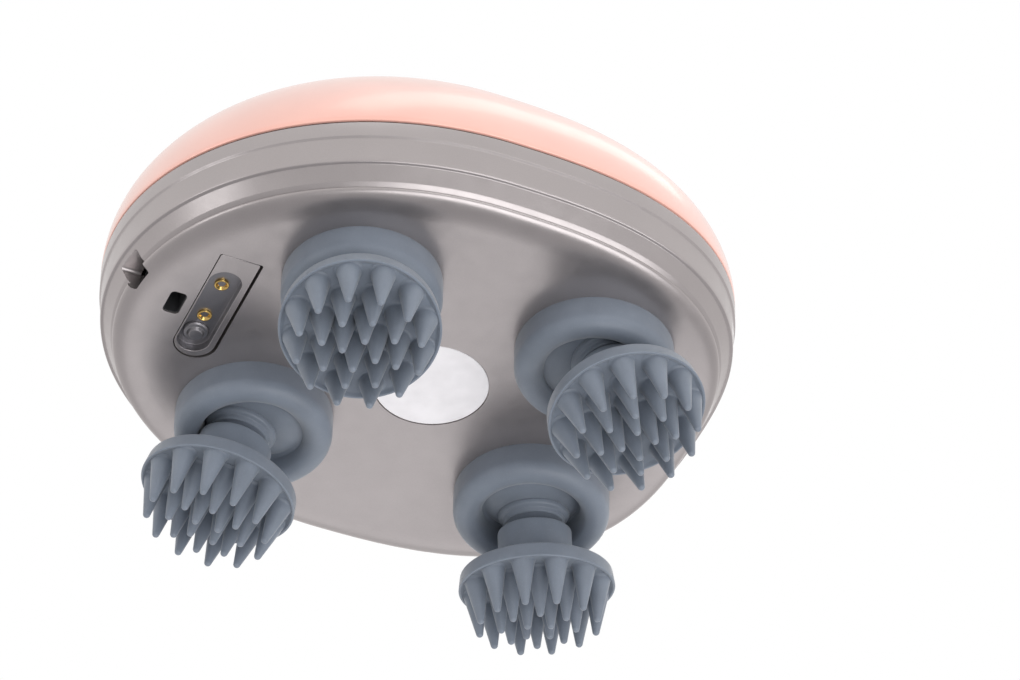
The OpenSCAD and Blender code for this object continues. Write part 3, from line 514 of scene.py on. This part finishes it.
def clear_lens(name):
    """Clear polycarbonate of the light guide."""
    finish = Finish(name, transmission_weight=0.85, ior=1.58)
    finish.set_colour(finish.mix(finish.remap(finish.noise(1, 2), 0, 1), srgb(236, 244, 250), srgb(250, 252, 255)))
    finish.set_roughness(0.08, 0.14, 0.5)
    return finish.material


def make_finishes(colours):
    """Makes every finish, each named for the slot that it belongs to."""
    return {
        "pearl_pink": pearl_pink(colours),
        "satin_silver": silver_paint("satin_silver", colours.silver, 0.31),
        "dark_silver": silver_paint("dark_silver", colours.insert, 0.34),
        "gold_plate": metal("gold_plate", colours.gold, 0.2, (1, 1, 1)),
        "label_white": moulded("label_white", colours.label, 0.38),
        "button_white": moulded("button_white", colours.button, 0.26, coat_weight=0.3, coat_roughness=0.1),
        "clear_plastic": clear_lens("clear_plastic"),
        "dark_seal": moulded("dark_seal", srgb(38, 36, 38), 0.6),
        "silicone": silicone("silicone", colours.silicone),
        "arm_plastic": silicone("arm_plastic", colours.arm, 0.4),
        "pom": moulded("pom", srgb(232, 230, 218), 0.4, subsurface_weight=0.1, subsurface_scale=0.001),
        "steel": metal("steel", srgb(196, 197, 201), 0.24),
        "motor_can": metal("motor_can", srgb(186, 189, 193), 0.3),
        "brass": metal("brass", srgb(222, 186, 112), 0.26),
        "black_plastic": moulded("black_plastic", srgb(44, 45, 47), 0.55),
        "bridge_steel": metal("bridge_steel", srgb(178, 180, 184), 0.34, (12, 1, 1)),
        "cell_sleeve": moulded("cell_sleeve", srgb(48, 96, 158), 0.25, coat_weight=0.4, coat_roughness=0.15),
        "board_green": moulded("board_green", srgb(28, 96, 60), 0.35),
        "screw_steel": metal("screw_steel", srgb(176, 178, 182), 0.28),
    }


def finish_named(slot):
    """The material of a slot, made the first time that one is asked for."""
    if f"{slot}_finish" not in bpy.data.materials:
        make_finishes(bpy.context.scene.massager_colours)
    return bpy.data.materials[f"{slot}_finish"]


# ---- Shells ----


def dome_ring(share, inset, hole, size):
    """Ring on the dome, from its seam at share 0 to the round hole at share 1."""

    def place(angle):
        full = outline_radius(angle, SEAM_OUT - inset)
        turn = share * math.acos(hole / full)
        return polar(full * math.cos(turn), angle, SHELL_H + (size.dome_height - inset) * math.sin(turn))

    return place


def dome_height_at(radius, size):
    """Height of the dome over a point on the X axis."""
    return SHELL_H + size.dome_height * math.sqrt(1 - (radius / (HALF_LENGTH + SEAM_OUT)) ** 2)


NOTCH_Y = (-6.7, -1.1)
NOTCH_H = (0.55, 4.8)


def strap_notch():
    """Cutter for the rounded notch where a strap leaves the side."""
    bm = bmesh.new()
    low = (-HALF_LENGTH - 7, NOTCH_Y[0], NOTCH_H[0])
    high = (-HALF_LENGTH + 4.5, NOTCH_Y[1], NOTCH_H[1])
    block(bm, low, high, 0.75, 0)
    return bm


class MASSAGER_OT_dome(bpy.types.Operator):
    """Model the pink dome with its button hole"""

    bl_idname = "massager.dome"
    bl_label = "Dome"
    bl_options = {"REGISTER", "UNDO"}

    def execute(self, context):
        size = in_mm(context.scene.massager_sizes)
        hole = size.button_r + size.button_gap
        lip = 0.35
        edge = 0.09
        start = 0.006
        outer_rings, inner_rings = 56, 24
        top = dome_height_at(hole, size)
        rings = [egg(SEAM_OUT - 0.3, SHELL_H), egg(SEAM_OUT - edge, SHELL_H + edge)]
        rings += [
            dome_ring(start + (1 - start) * k / outer_rings, 0, hole + lip, size) for k in range(outer_rings + 1)
        ]
        rings += [round_ring(r, top - lip + h) for r, h in arc((hole + lip, 0), lip, 100, 180, 5)]
        rings += [round_ring(hole, top - size.dome_wall)]
        rings += [dome_ring(1 - k / inner_rings, size.dome_wall, hole, size) for k in range(inner_rings)]
        spigot = ((-0.5, 0.5), (-0.5, -2.6), (0.7, -2.6), (0.7, 0))
        rings += [egg(growth, SHELL_H + rise) for growth, rise in spigot]
        bm = bmesh.new()
        skin(bm, rings, close=True)
        new_piece("dome", bm, "housing", "pearl_pink", ["top_shell"], AT_PLATE, sharp=40)
        return {"FINISHED"}


class MASSAGER_OT_side_band(bpy.types.Operator):
    """Model the silver side band with its two ridges and the dark seal above it"""

    bl_idname = "massager.side_band"
    bl_label = "Side band and seal"
    bl_options = {"REGISTER", "UNDO"}

    def execute(self, context):
        size = in_mm(context.scene.massager_sizes)
        low, high, top = size.ridge_h, size.upper_ridge_h, BAND_TOP_H
        profile = rounded(
            [
                (-2.2, PARTING_H, 0), (-0.5, PARTING_H, 0.1), (0.3, PARTING_H + 0.85, 0.9),
                (SEAM_OUT - 1.0, low - 0.55, 0.2), (SEAM_OUT - 0.5, low - 0.4, 0.28), (SEAM_OUT - 0.42, low + 0.3, 0.3),
                (SEAM_OUT - 0.3, high - 0.3, 0.3), (SEAM_OUT - 0.02, high + 0.1, 0.25),
                (SEAM_OUT, top, 0.22), (0.8, top, 0), (0.8, top - 2.2, 0), (-0.4, top - 5.5, 0), (-2.2, 4.8, 0),
            ],
            steps=5,
            closed=True,
        )
        bm = bmesh.new()
        skin(bm, [egg(growth, height) for growth, height in profile], close=True)
        bm = cut_away(bm, strap_notch())
        new_piece("side_band", bm, "housing", "satin_silver", ["mid_frame"], AT_PLATE)

        seal = rounded(
            [
                (SEAM_OUT - 0.4, top, 0.1), (SEAM_OUT - 0.4, SHELL_H, 0.1),
                (0.8, SHELL_H, 0), (0.8, top, 0),
            ],
            steps=3,
            closed=True,
        )
        bm = bmesh.new()
        skin(bm, [egg(growth, height) for growth, height in seal], close=True)
        new_piece("dome_seal", bm, "housing", "dark_seal", ["shell_seal"], AT_PLATE)
        return {"FINISHED"}


# ---- Base plate and what is let into it ----

INSERT_HALF = 3.5
INSERT_X = box_mm("charge_insert")[0].x + INSERT_HALF
INSERT_TOP_Y = box_mm("charge_insert")[0].y + 1.1
INSERT_TAIL_Y = box_mm("charge_insert")[1].y - 4.6
POCKET_X = INSERT_X - 0.4
STRAP_HOLE = (8.3 - HALF_LENGTH, -1.7)
STRAP_HOLE_HALF = (1.45, 2.6)
LABEL_AT = ((box_mm("label_disc")[0] + box_mm("label_disc")[1]) / 2).xy


def insert_outline(grow, corner=0.35, groove=0.0):
    """Outline of the charging insert, square at one end and round at the other, with a groove along one side."""
    half = INSERT_HALF + grow
    top = INSERT_TOP_Y - grow
    side = INSERT_X + half + groove
    corners = [(INSERT_X - half, 0, 0), (INSERT_X - half, top, corner), (side, top, corner), (side, 0, 0)]
    square = rounded(corners, steps=5)
    return square[1:-1] + arc((INSERT_X + groove / 2, INSERT_TAIL_Y), half + groove / 2, 0, 180, 36)


def stadium(x, low_y, high_y, radius):
    """Outline of a slot with round ends, along Y."""
    return arc((x, high_y), radius, 0, 180, 32) + arc((x, low_y), radius, 180, 360, 32)


class MASSAGER_OT_base_plate(bpy.types.Operator):
    """Model the base plate with its shoulder, openings and strap passage"""

    bl_idname = "massager.base_plate"
    bl_label = "Base plate"
    bl_options = {"REGISTER", "UNDO"}

    def execute(self, context):
        size = in_mm(context.scene.massager_sizes)
        gap = 0.17
        steps = 18
        turns = [math.radians(90 * k / steps) for k in range(steps + 1)]
        profile = [(size.shoulder_run * (math.sin(t) - 1), size.shoulder_rise * (1 - math.cos(t))) for t in turns]
        profile += [(-0.03, PARTING_H - 0.18), (-0.14, PARTING_H - 0.07), (-0.5, PARTING_H)]
        profile += [(-2.3, PARTING_H), (-2.3, 4.4), (-3.8, 4.4), (-3.8, PARTING_H)]
        bm = bmesh.new()
        outer, inner = skin(bm, [egg(growth, height) for growth, height in profile])
        bmesh.ops.edgeloop_fill(bm, edges=outer)
        bmesh.ops.edgeloop_fill(bm, edges=inner)

        openings = bmesh.new()
        for head in HEADS:
            pivot = head_place(head)[0]
            hole = arc((pivot.x, pivot.y), size.hole_r, 0, 360, 72)[:-1]
            prism(openings, hole, -1, size.plate_t + 1)
        prism(openings, insert_outline(gap, 0.4, 0.3), -1, size.plate_t + 1)
        prism(openings, arc(LABEL_AT, size.label_r + gap, 0, 360, 96)[:-1], -1, 0.3)
        x, y = STRAP_HOLE
        half_x, half_y = STRAP_HOLE_HALF
        block(openings, (x - half_x, y - half_y, -1), (x + half_x, y + half_y, size.plate_t + 1), 0.8, 2)
        bm = cut_away(bm, openings, strap_notch())
        new_piece("base_plate", bm, "housing", "satin_silver", ["base_cover"], AT_PLATE, edge=0.1)

        # A box behind the plate, with a liner in the hole and one in the notch, and one channel through all three. Its
        # black finish is painted shade: the real channel is the base's silver, darkened only by the shade inside it.
        fit, notch_wall, hole_wall = 0.01, 0.2, 0.15
        low_y, high_y = NOTCH_Y
        low_h, high_h = NOTCH_H
        liner_x, liner_y = half_x - fit, half_y - fit
        mouth_x, mouth_y = half_x - hole_wall, half_y - hole_wall
        passage = bmesh.new()
        block(passage, (x - 4.4, -7.8, size.plate_t), (x + 2.6, 1.9, 5.9))
        block(passage, (x - liner_x, y - liner_y, 0.3), (x + liner_x, y + liner_y, 3.0), 0.8, 2)
        block(passage, (x - 5.5, low_y + fit, low_h + fit), (x - 4, high_y - fit, high_h - fit), 0.8, 0)
        channel = bmesh.new()
        floor, roof = low_h + notch_wall, high_h - notch_wall
        block(channel, (x - 9, low_y + notch_wall, floor), (x + mouth_x, high_y - notch_wall, roof), 0.7, 0)
        block(channel, (x - mouth_x, y - mouth_y, -1), (x + mouth_x, y + mouth_y, roof), 0.7, 2)
        passage = cut_away(passage, channel)
        # Black here is painted shade for the inside of the channel
        new_piece("strap_passage", passage, "housing", "black_plastic", place=AT_PLATE)
        return {"FINISHED"}


class MASSAGER_OT_charging(bpy.types.Operator):
    """Model the charging insert with its keyed pocket and hollow contacts"""

    bl_idname = "massager.charging"
    bl_label = "Charging insert and contacts"
    bl_options = {"REGISTER", "UNDO"}

    def execute(self, context):
        depth = 1.6
        pocket_low = INSERT_TOP_Y + 6.5
        pocket_high = INSERT_TAIL_Y - 0.4
        bm = bmesh.new()
        prism(bm, insert_outline(0), 0.05, 3.8)
        pocket = bmesh.new()
        prism(pocket, stadium(POCKET_X, pocket_low, pocket_high, 2.8), -1, depth)
        bm = cut_away(bm, pocket)
        key_place = Matrix.Translation((POCKET_X, pocket_high - 0.8, 0))
        key = rounded(
            [
                (0, 0.35, 0), (1.15, 0.45, 0.3), (1.5, 0.95, 0.1), (2.0, 1.0, 0.2), (2.25, 1.25, 0.1),
                (2.25, depth + 0.1, 0),
            ],
            steps=5,
        )
        lathe(bm, key, 48, place=key_place)
        insert = new_piece(
            "charging_insert", bm, "housing", "dark_silver", ["charge_insert"], AT_PLATE, "satin_silver", edge=0.1
        )
        insert.data.materials.append(finish_named("dark_silver"))
        for face in insert.data.polygons:
            inside = face.center.z > (PLATE_Z + 0.2) * MM and abs(face.center.x / MM - POCKET_X) < 2.95
            face.material_index = 1 if inside else 0

        low, high = box_mm("charge_contacts")
        radius = (high.x - low.x) / 2
        mouth = depth - 0.5
        profile = rounded(
            [
                (0, mouth + 1.6, 0), (0.5 * radius, mouth + 1.6, 0), (0.5 * radius, mouth + 0.5, 0.1),
                (0.82 * radius, mouth, 0.12), (radius, mouth + 0.12, 0.1), (radius, 3.8, 0),
            ],
            steps=4,
        )
        bm = bmesh.new()
        for y in (low.y + radius, high.y - radius):
            lathe(bm, profile, 48, place=Matrix.Translation(((low.x + high.x) / 2, y, PLATE_Z)))
        new_piece("contacts", bm, "housing", "gold_plate", ["charge_contacts"])
        return {"FINISHED"}


class MASSAGER_OT_label(bpy.types.Operator):
    """Model the bare round label in its recess"""

    bl_idname = "massager.label"
    bl_label = "Label"
    bl_options = {"REGISTER", "UNDO"}

    def execute(self, context):
        size = in_mm(context.scene.massager_sizes)
        profile = rounded([(0, 0.06, 0), (size.label_r, 0.07, 0.08), (size.label_r, 0.3, 0)], steps=4)
        bm = bmesh.new()
        lathe(bm, profile, 128, place=AT_PLATE @ Matrix.Translation((*LABEL_AT, 0)))
        new_piece("label", bm, "housing", "label_white", ["label_disc"])
        return {"FINISHED"}


class MASSAGER_OT_button(bpy.types.Operator):
    """Model the power button and the small lens beside it"""

    bl_idname = "massager.button"
    bl_label = "Power button and lens"
    bl_options = {"REGISTER", "UNDO"}

    def execute(self, context):
        size = in_mm(context.scene.massager_sizes)
        low, high = box_mm("power_button")
        foot = low.z - PLATE_Z
        top = high.z - PLATE_Z
        flange = (high.x - low.x) / 2
        edge = top - 0.35
        profile = rounded(
            [
                (0, foot, 0), (flange, foot, 0.15), (flange, foot + 0.8, 0.15), (size.button_r, foot + 0.8, 0),
                (size.button_r, edge, 0.45), (0.62 * size.button_r, top - 0.08, 6), (0, top, 0),
            ],
            steps=8,
        )
        bm = bmesh.new()
        lathe(bm, profile, 128, place=AT_PLATE)
        new_piece("button", bm, "button", "button_white", ["power_button"])

        low, high = box_mm("light_guide")
        centre = (low + high) / 2
        radius = (high.x - low.x) / 2
        profile = [(0, low.z), (radius, low.z), (radius, high.z)]
        profile += [(radius * math.cos(t), high.z + 0.3 * math.sin(t)) for t in (0.3, 0.6, 0.9, 1.2)]
        profile += [(0, high.z + 0.3)]
        bm = bmesh.new()
        lathe(bm, profile, 48, place=Matrix.Translation((centre.x, centre.y, 0)))
        new_piece("lens", bm, "housing", "clear_plastic", ["light_guide"])
        return {"FINISHED"}


# ---- Kneading heads ----


def neck_place(size):
    """Distance along the arm from the pivot to where a boot's floor meets the neck."""
    return math.sqrt(size.boot_floor**2 - size.neck_r**2)


def boot_rings(lean, size, plate_s):
    """Rings of a boot, from the plate over the rolled crown and across the floor, which leans with the neck."""
    roll_sine = 0.72  # of the turn at which the roll ends and the inner wall begins
    wall_share = 0.93  # how far down the inner wall its curved part comes
    floor_rings = 10
    crown = (size.boot_r - size.boot_roll, plate_s + size.boot_crown - size.boot_roll)
    fold_from = crown[1] + roll_sine * size.boot_roll
    fold_r = crown[0] - size.boot_roll - 0.12
    neck_s = neck_place(size)
    tilt = Matrix.Rotation(lean, 3, "Y")

    def fold_s(angle):
        """Height of the valley between wall and floor, which is lower where the neck leans away."""
        return plate_s + 2.45 - 1.75 * math.cos(angle)

    def wall(radius, share):
        """Ring on the crown's inner side, a share of the way down to the fold."""
        return lambda angle: polar(radius, angle, fold_from + share * (fold_s(angle) - fold_from))

    def floor(share):
        """Ring on the floor, a share of the way from the fold to the neck."""

        def place(angle):
            fold = polar(fold_r - 0.35, angle, fold_s(angle) - 0.12)
            neck = tilt @ polar(size.neck_r + 0.05, angle, neck_s)
            bulge = Vector((0, 0, 0.3 * math.sin(math.pi * share)))
            return fold.lerp(neck, share) + bulge

        return place

    outside = [(size.boot_r - 0.1, plate_s - 0.5), (size.boot_r, plate_s + 0.5)]
    outside += arc(crown, size.boot_roll, 0, 134, 24)
    rings = [round_ring(radius, s) for radius, s in outside]
    for k in range(1, 8):
        turn = math.radians(138 + 6 * k)
        radius = crown[0] + size.boot_roll * math.cos(turn)
        rings.append(wall(radius, wall_share * (1 - math.sin(turn) / roll_sine)))
    rings += [wall(fold_r + 0.02, 0.965), wall(fold_r - 0.12, 1.0)]
    rings += [floor(k / floor_rings) for k in range(floor_rings + 1)]
    rings += [lambda angle: tilt @ polar(size.neck_r + 0.05, angle, neck_s - 1.0)]
    return rings


def clear_hub(verts, lean, size):
    """Presses the boot's roll away from the hub that leans over it."""
    into_arm = Matrix.Rotation(-lean, 3, "Y")
    reach = size.hub_r + 0.35
    floor = size.hub_s - 0.3
    for vert in verts:
        point = into_arm @ vert.co
        radius = math.hypot(point.x, point.y)
        if radius < reach and point.z > floor and radius > size.neck_r:
            if reach - radius < point.z - floor:
                point.x *= reach / radius
                point.y *= reach / radius
            else:
                point.z = floor
            vert.co = into_arm.inverted() @ point


class MASSAGER_OT_boots(bpy.types.Operator):
    """Model the rolled boots round the necks and the beads that grip them"""

    bl_idname = "massager.boots"
    bl_label = "Boots and beads"
    bl_options = {"REGISTER", "UNDO"}

    def execute(self, context):
        size = in_mm(context.scene.massager_sizes)
        for head in HEADS:
            pivot, lean, _ = head_place(head)
            plate_s = pivot.z - PLATE_Z
            bm = bmesh.new()
            skin(bm, boot_rings(lean, size, plate_s), segments=128)
            clear_hub(bm.verts, lean, size)
            # It turns with the crank, so its floor follows the leaning neck and its round wall stays where it is
            new_piece(
                f"boot_skin_{head}", bm, f"crank_{head}", "silicone", [f"boot_{head}"], boot_frame(head), sharp=60
            )

            neck = size.neck_r + 0.02
            foot = neck_place(size) - 0.1
            bead = rounded(
                [
                    (neck, foot, 0), (neck + 1.3, foot - 0.1, 0.4), (neck + 1.15, foot + 1.0, 0.55),
                    (neck + 0.4, foot + 1.3, 0.35), (neck + 0.3, foot + 2.0, 0.2), (neck, foot + 2.1, 0),
                ],
                steps=5,
            )
            bm = bmesh.new()
            lathe(bm, bead, 96, closed=True, place=arm_frame(head))
            new_piece(f"bead_{head}", bm, f"head_{head}", "silicone", [f"boot_ring_{head}"], sharp=60)
        return {"FINISHED"}


class MASSAGER_OT_arms(bpy.types.Operator):
    """Model the arms: crank pin, pivot ball, neck and stub"""

    bl_idname = "massager.arms"
    bl_label = "Arms"
    bl_options = {"REGISTER", "UNDO"}

    def execute(self, context):
        size = in_mm(context.scene.massager_sizes)
        pin, ball, shank, stub = 2.2, 5.0, 3.0, 3.4
        pin_end, chamfer = -10.6, 0.2
        stub_end = size.rim_s - size.disc_t - 1.2
        pin_turn = math.degrees(math.acos(pin / ball))
        shank_turn = math.degrees(math.acos(shank / ball))
        neck_s = size.boot_floor - 2
        corners = [
            (shank, neck_s, 0), (size.neck_r, neck_s, 0.2), (size.neck_r, size.hub_s, 0), (stub, size.hub_s, 0),
            (stub, stub_end, 0.3), (0, stub_end, 0),
        ]
        profile = [(0, pin_end), (pin - chamfer, pin_end), (pin, pin_end + chamfer)]
        profile += arc((0, 0), ball, -pin_turn, shank_turn, 20)
        profile += rounded(corners, steps=4)
        for head in HEADS:
            bm = bmesh.new()
            lathe(bm, profile, 64, place=arm_frame(head))
            new_piece(f"neck_{head}", bm, f"head_{head}", "arm_plastic", [f"arm_{head}"])
        return {"FINISHED"}


def pin_profile(length, size):
    """A tapered pin with a flared root, sunk a little, and a tangent round tip."""
    flare = 0.55
    slope = math.atan((size.pin_root - size.pin_tip) / (length - size.pin_tip))
    base = size.pin_root + flare
    root = arc((base, flare), flare, 270, 180, 5)
    tip = arc((0, length - size.pin_tip), size.pin_tip, math.degrees(slope), 90, 6)
    return [(base, -0.3)] + root + tip


def pins(bm, count, radius, tip_in, extra, turn, size):
    """One ring of pins on the disc's face, whose tips stand closer in than their roots."""
    face_s = size.rim_s - size.face_recess
    length = size.rim_s + size.pin_reach + extra - face_s
    single = bmesh.new()
    lathe(single, pin_profile(length, size), 24)
    pin = bpy.data.meshes.new("pin")
    single.to_mesh(pin)
    single.free()
    tilt = Matrix.Rotation(-math.atan(tip_in / length), 4, "Y")
    for k in range(count):
        spot = Matrix.Rotation(turn + math.tau * k / count, 4, "Z") @ Matrix.Translation((radius, 0, face_s))
        start = len(bm.verts)
        bm.from_mesh(pin)
        bm.verts.ensure_lookup_table()
        bmesh.ops.transform(bm, matrix=spot @ tilt, verts=bm.verts[start:])
    bpy.data.meshes.remove(pin)


PIN_RINGS = ((12, 10.9, 0.6, 0), (8, 6.6, 0.2, 0.7), (4, 2.85, 0, 1))  # count, radius, lean in, share of crown
HEAD_TURNS = dict(zip(HEADS, (71, 70, 8, 32)))  # how each head's pins are turned about its arm, in degrees


class MASSAGER_OT_brushes(bpy.types.Operator):
    """Model the silicone heads: hub, dished disc and three rings of pins"""

    bl_idname = "massager.brushes"
    bl_label = "Pin heads"
    bl_options = {"REGISTER", "UNDO"}

    def execute(self, context):
        size = in_mm(context.scene.massager_sizes)
        back = size.rim_s - size.disc_t
        face = size.rim_s - size.face_recess
        disc = rounded(
            [
                (3.45, back - 1.3, 0), (3.45, size.hub_s, 0.1), (size.hub_r, size.hub_s, 0.35),
                (size.hub_r, back, 0.9), (size.disc_r - 0.35, back, 0.4), (size.disc_r, size.rim_s, 0.18),
                (size.disc_r - 0.4, size.rim_s, 0.16), (size.disc_r - 1.0, face, 0.7), (0, face, 0),
            ],
            steps=6,
        )
        for head in HEADS:
            bm = bmesh.new()
            for count, radius, tip_in, share in PIN_RINGS:
                pins(bm, count, radius, tip_in, share * size.pin_crown, math.radians(HEAD_TURNS[head]), size)
            lathe(bm, disc, 128)
            new_piece(
                f"pin_head_{head}", bm, f"head_{head}", "silicone", [f"brush_{head}"], arm_frame(head), sharp=50
            )
        return {"FINISHED"}


# ---- Inner parts and stage ----


class MASSAGER_OT_inner_parts(bpy.types.Operator):
    """Give every carried-over solid the finish of its slot"""

    bl_idname = "massager.inner_parts"
    bl_label = "Inner parts"
    bl_options = {"REGISTER", "UNDO"}

    def execute(self, context):
        for part in frame["record"]["subparts"]:
            mesh = frame["nodes"][part["node"]].data
            mesh.materials.clear()
            mesh.materials.append(finish_named(part["material_slot"]))
        return {"FINISHED"}


# The camera's directions, its lens and the place that it looks at, fitted to the plate and the heads
CAMERA_BACK = Vector((-0.27752, -0.67666, -0.68200))
CAMERA_RIGHT = Vector((0.92055, -0.39041, 0.01276))
CAMERA_UP = Vector((-0.27490, -0.62427, 0.73124))
FOCAL_LENGTH = 208.235
SENSOR_WIDTH = 36
LOOK_RIGHT, LOOK_UP = 13.39, 7.73


def seen_place(target, right, up, back):
    """Point in metres, given from a target along the camera's own directions."""
    return target + right * CAMERA_RIGHT + up * CAMERA_UP + back * CAMERA_BACK


def aim(obj, place, target):
    """Puts a camera or lamp in place and turns it to its target."""
    obj.location = place
    obj.rotation_euler = (place - target).to_track_quat("Z", "Y").to_euler()


def add_lamp(name, place, target, size, power):
    """A rectangular area lamp, size wide and high, that shines at a target."""
    lamp = bpy.data.lights.new(name, "AREA")
    lamp.shape = "RECTANGLE"
    lamp.size, lamp.size_y = size
    lamp.energy = power
    obj = bpy.data.objects.new(name, lamp)
    bpy.context.scene.collection.objects.link(obj)
    aim(obj, place, target)


def pale_world(scene):
    """Soft ambient light, a white background for the camera, and for gloss and clear plastic a sky that runs from grey
    below to pale above.
    """
    world = bpy.data.worlds.new("studio")
    world.use_nodes = True
    tree = world.node_tree
    nodes, links = tree.nodes, tree.links
    ambient = nodes["Background"]
    ambient.inputs["Color"].default_value = (1, 1, 1, 1)
    ambient.inputs["Strength"].default_value = 0.78
    seen = nodes.new("ShaderNodeBackground")
    seen.inputs["Strength"].default_value = 1.0
    coordinates = nodes.new("ShaderNodeTexCoord")
    split = nodes.new("ShaderNodeSeparateXYZ")
    links.new(coordinates.outputs["Generated"], split.inputs["Vector"])
    ramp = nodes.new("ShaderNodeValToRGB")
    ramp.color_ramp.elements[0].color = (0.4, 0.39, 0.4, 1)
    ramp.color_ramp.elements[1].position = 0.7
    ramp.color_ramp.elements[1].color = (0.92, 0.9, 0.89, 1)
    to_share = nodes.new("ShaderNodeMapRange")
    to_share.inputs["From Min"].default_value = -1
    links.new(split.outputs["Z"], to_share.inputs["Value"])
    links.new(to_share.outputs["Result"], ramp.inputs["Fac"])
    links.new(ramp.outputs["Color"], seen.inputs["Color"])
    path = nodes.new("ShaderNodeLightPath")
    either = nodes.new("ShaderNodeMath")
    either.operation = "MAXIMUM"
    links.new(path.outputs["Is Glossy Ray"], either.inputs[0])
    links.new(path.outputs["Is Transmission Ray"], either.inputs[1])
    mirrored = nodes.new("ShaderNodeMixShader")
    links.new(either.outputs[0], mirrored.inputs["Fac"])
    links.new(ambient.outputs[0], mirrored.inputs[1])
    links.new(seen.outputs[0], mirrored.inputs[2])
    white = nodes.new("ShaderNodeBackground")
    white.inputs["Color"].default_value = (1, 1, 1, 1)
    choice = nodes.new("ShaderNodeMixShader")
    links.new(path.outputs["Is Camera Ray"], choice.inputs["Fac"])
    links.new(mirrored.outputs[0], choice.inputs[1])
    links.new(white.outputs[0], choice.inputs[2])
    links.new(choice.outputs[0], nodes["World Output"].inputs["Surface"])
    scene.world = world


def floor_material():
    """Pale floor that only the camera sees, and only from above."""
    material = bpy.data.materials.new("pale_floor")
    material.use_nodes = True
    nodes, links = material.node_tree.nodes, material.node_tree.links
    shader = nodes["Principled BSDF"]
    shader.inputs["Base Color"].default_value = (0.9, 0.9, 0.91, 1)
    shader.inputs["Roughness"].default_value = 0.9
    shader.inputs["Specular IOR Level"].default_value = 0.1
    path = nodes.new("ShaderNodeLightPath")
    geometry = nodes.new("ShaderNodeNewGeometry")
    front = nodes.new("ShaderNodeMath")
    front.operation = "SUBTRACT"
    front.use_clamp = True
    links.new(path.outputs["Is Camera Ray"], front.inputs[0])
    links.new(geometry.outputs["Backfacing"], front.inputs[1])
    clear = nodes.new("ShaderNodeBsdfTransparent")
    choice = nodes.new("ShaderNodeMixShader")
    links.new(front.outputs[0], choice.inputs["Fac"])
    links.new(clear.outputs[0], choice.inputs[1])
    links.new(shader.outputs[0], choice.inputs[2])
    links.new(choice.outputs[0], nodes["Material Output"].inputs["Surface"])
    return material


class MASSAGER_OT_stage(bpy.types.Operator):
    """Set up the floor, soft lamps, pale world and camera"""

    bl_idname = "massager.stage"
    bl_label = "Stage"
    bl_options = {"REGISTER", "UNDO"}

    def execute(self, context):
        scene = context.scene
        scene.view_settings.view_transform = "Standard"
        pale_world(scene)

        bm = bmesh.new()
        bmesh.ops.create_circle(bm, cap_ends=True, segments=96, radius=1.6)
        mesh = bpy.data.meshes.new("floor")
        bm.to_mesh(mesh)
        bm.free()
        mesh.materials.append(floor_material())
        floor = bpy.data.objects.new("floor", mesh)
        scene.collection.objects.link(floor)

        middle = Vector((LABEL_AT.x, 0, PLATE_Z)) * MM
        add_lamp("front", middle + Vector((0.3, -0.72, -0.86)), middle, (1.3, 0.75), 7.0)
        add_lamp("ridge", Vector((0.16, -0.9, 0.12)), Vector((0, 0, 0.035)), (0.8, 0.08), 0.8)
        add_lamp("under", middle + Vector((0.12, 0.27, -0.22)), middle, (0.4, 0.25), 0.16)
        add_lamp("left", seen_place(middle, -0.7, 0.35, 0.35), middle, (0.3, 0.5), 0.6)
        add_lamp("top", Vector((0.1, -0.15, 0.75)), Vector((0, 0, 0.05)), (0.9, 0.2), 0.7)
        add_lamp("back", Vector((0.35, 0.75, 0.55)), middle, (0.5, 0.4), 0.8)

        lens = bpy.data.cameras.new("camera")
        lens.lens = FOCAL_LENGTH
        lens.sensor_width = SENSOR_WIDTH
        lens.clip_end = 10
        camera = bpy.data.objects.new("camera", lens)
        scene.collection.objects.link(camera)
        target = seen_place(middle, LOOK_RIGHT * MM, LOOK_UP * MM, 0)
        camera.location = target + CAMERA_BACK
        turn = Matrix((CAMERA_RIGHT, CAMERA_UP, CAMERA_BACK)).transposed()
        camera.rotation_euler = turn.to_euler()
        scene.camera = camera
        return {"FINISHED"}


OPERATORS = (
    MASSAGER_OT_inner_parts,
    MASSAGER_OT_dome,
    MASSAGER_OT_side_band,
    MASSAGER_OT_base_plate,
    MASSAGER_OT_charging,
    MASSAGER_OT_label,
    MASSAGER_OT_button,
    MASSAGER_OT_boots,
    MASSAGER_OT_arms,
    MASSAGER_OT_brushes,
    MASSAGER_OT_stage,
)


class MASSAGER_PT_looks(bpy.types.Panel):
    """Buttons that model the pieces, and the sizes and colours that they use"""

    bl_idname = "MASSAGER_PT_looks"
    bl_label = "Scalp massager"
    bl_space_type = "VIEW_3D"
    bl_region_type = "UI"
    bl_category = "Massager"

    def draw(self, context):
        """Lists a button for each operator, then every size and colour."""
        layout = self.layout
        for operator in OPERATORS:
            layout.operator(operator.bl_idname)
        for group in (context.scene.massager_sizes, context.scene.massager_colours):
            column = layout.column(align=True)
            for key in group.bl_rna.properties.keys():
                if key not in {"rna_type", "name"}:
                    column.prop(group, key)


CLASSES = (MassagerSizes, MassagerColours, *OPERATORS, MASSAGER_PT_looks)


def register():
    """Registers the add-on's classes and its scene properties."""
    for cls in CLASSES:
        bpy.utils.register_class(cls)
    bpy.types.Scene.massager_sizes = PointerProperty(type=MassagerSizes)
    bpy.types.Scene.massager_colours = PointerProperty(type=MassagerColours)


def unregister():
    """Takes the add-on's classes and scene properties away again."""
    del bpy.types.Scene.massager_colours
    del bpy.types.Scene.massager_sizes
    for cls in reversed(CLASSES):
        bpy.utils.unregister_class(cls)


def main():
    """Builds every piece and the stage."""
    register()
    for operator in OPERATORS:
        group, name = operator.bl_idname.split(".")
        getattr(getattr(bpy.ops, group), name)()


if __name__ == "__main__":
    main()
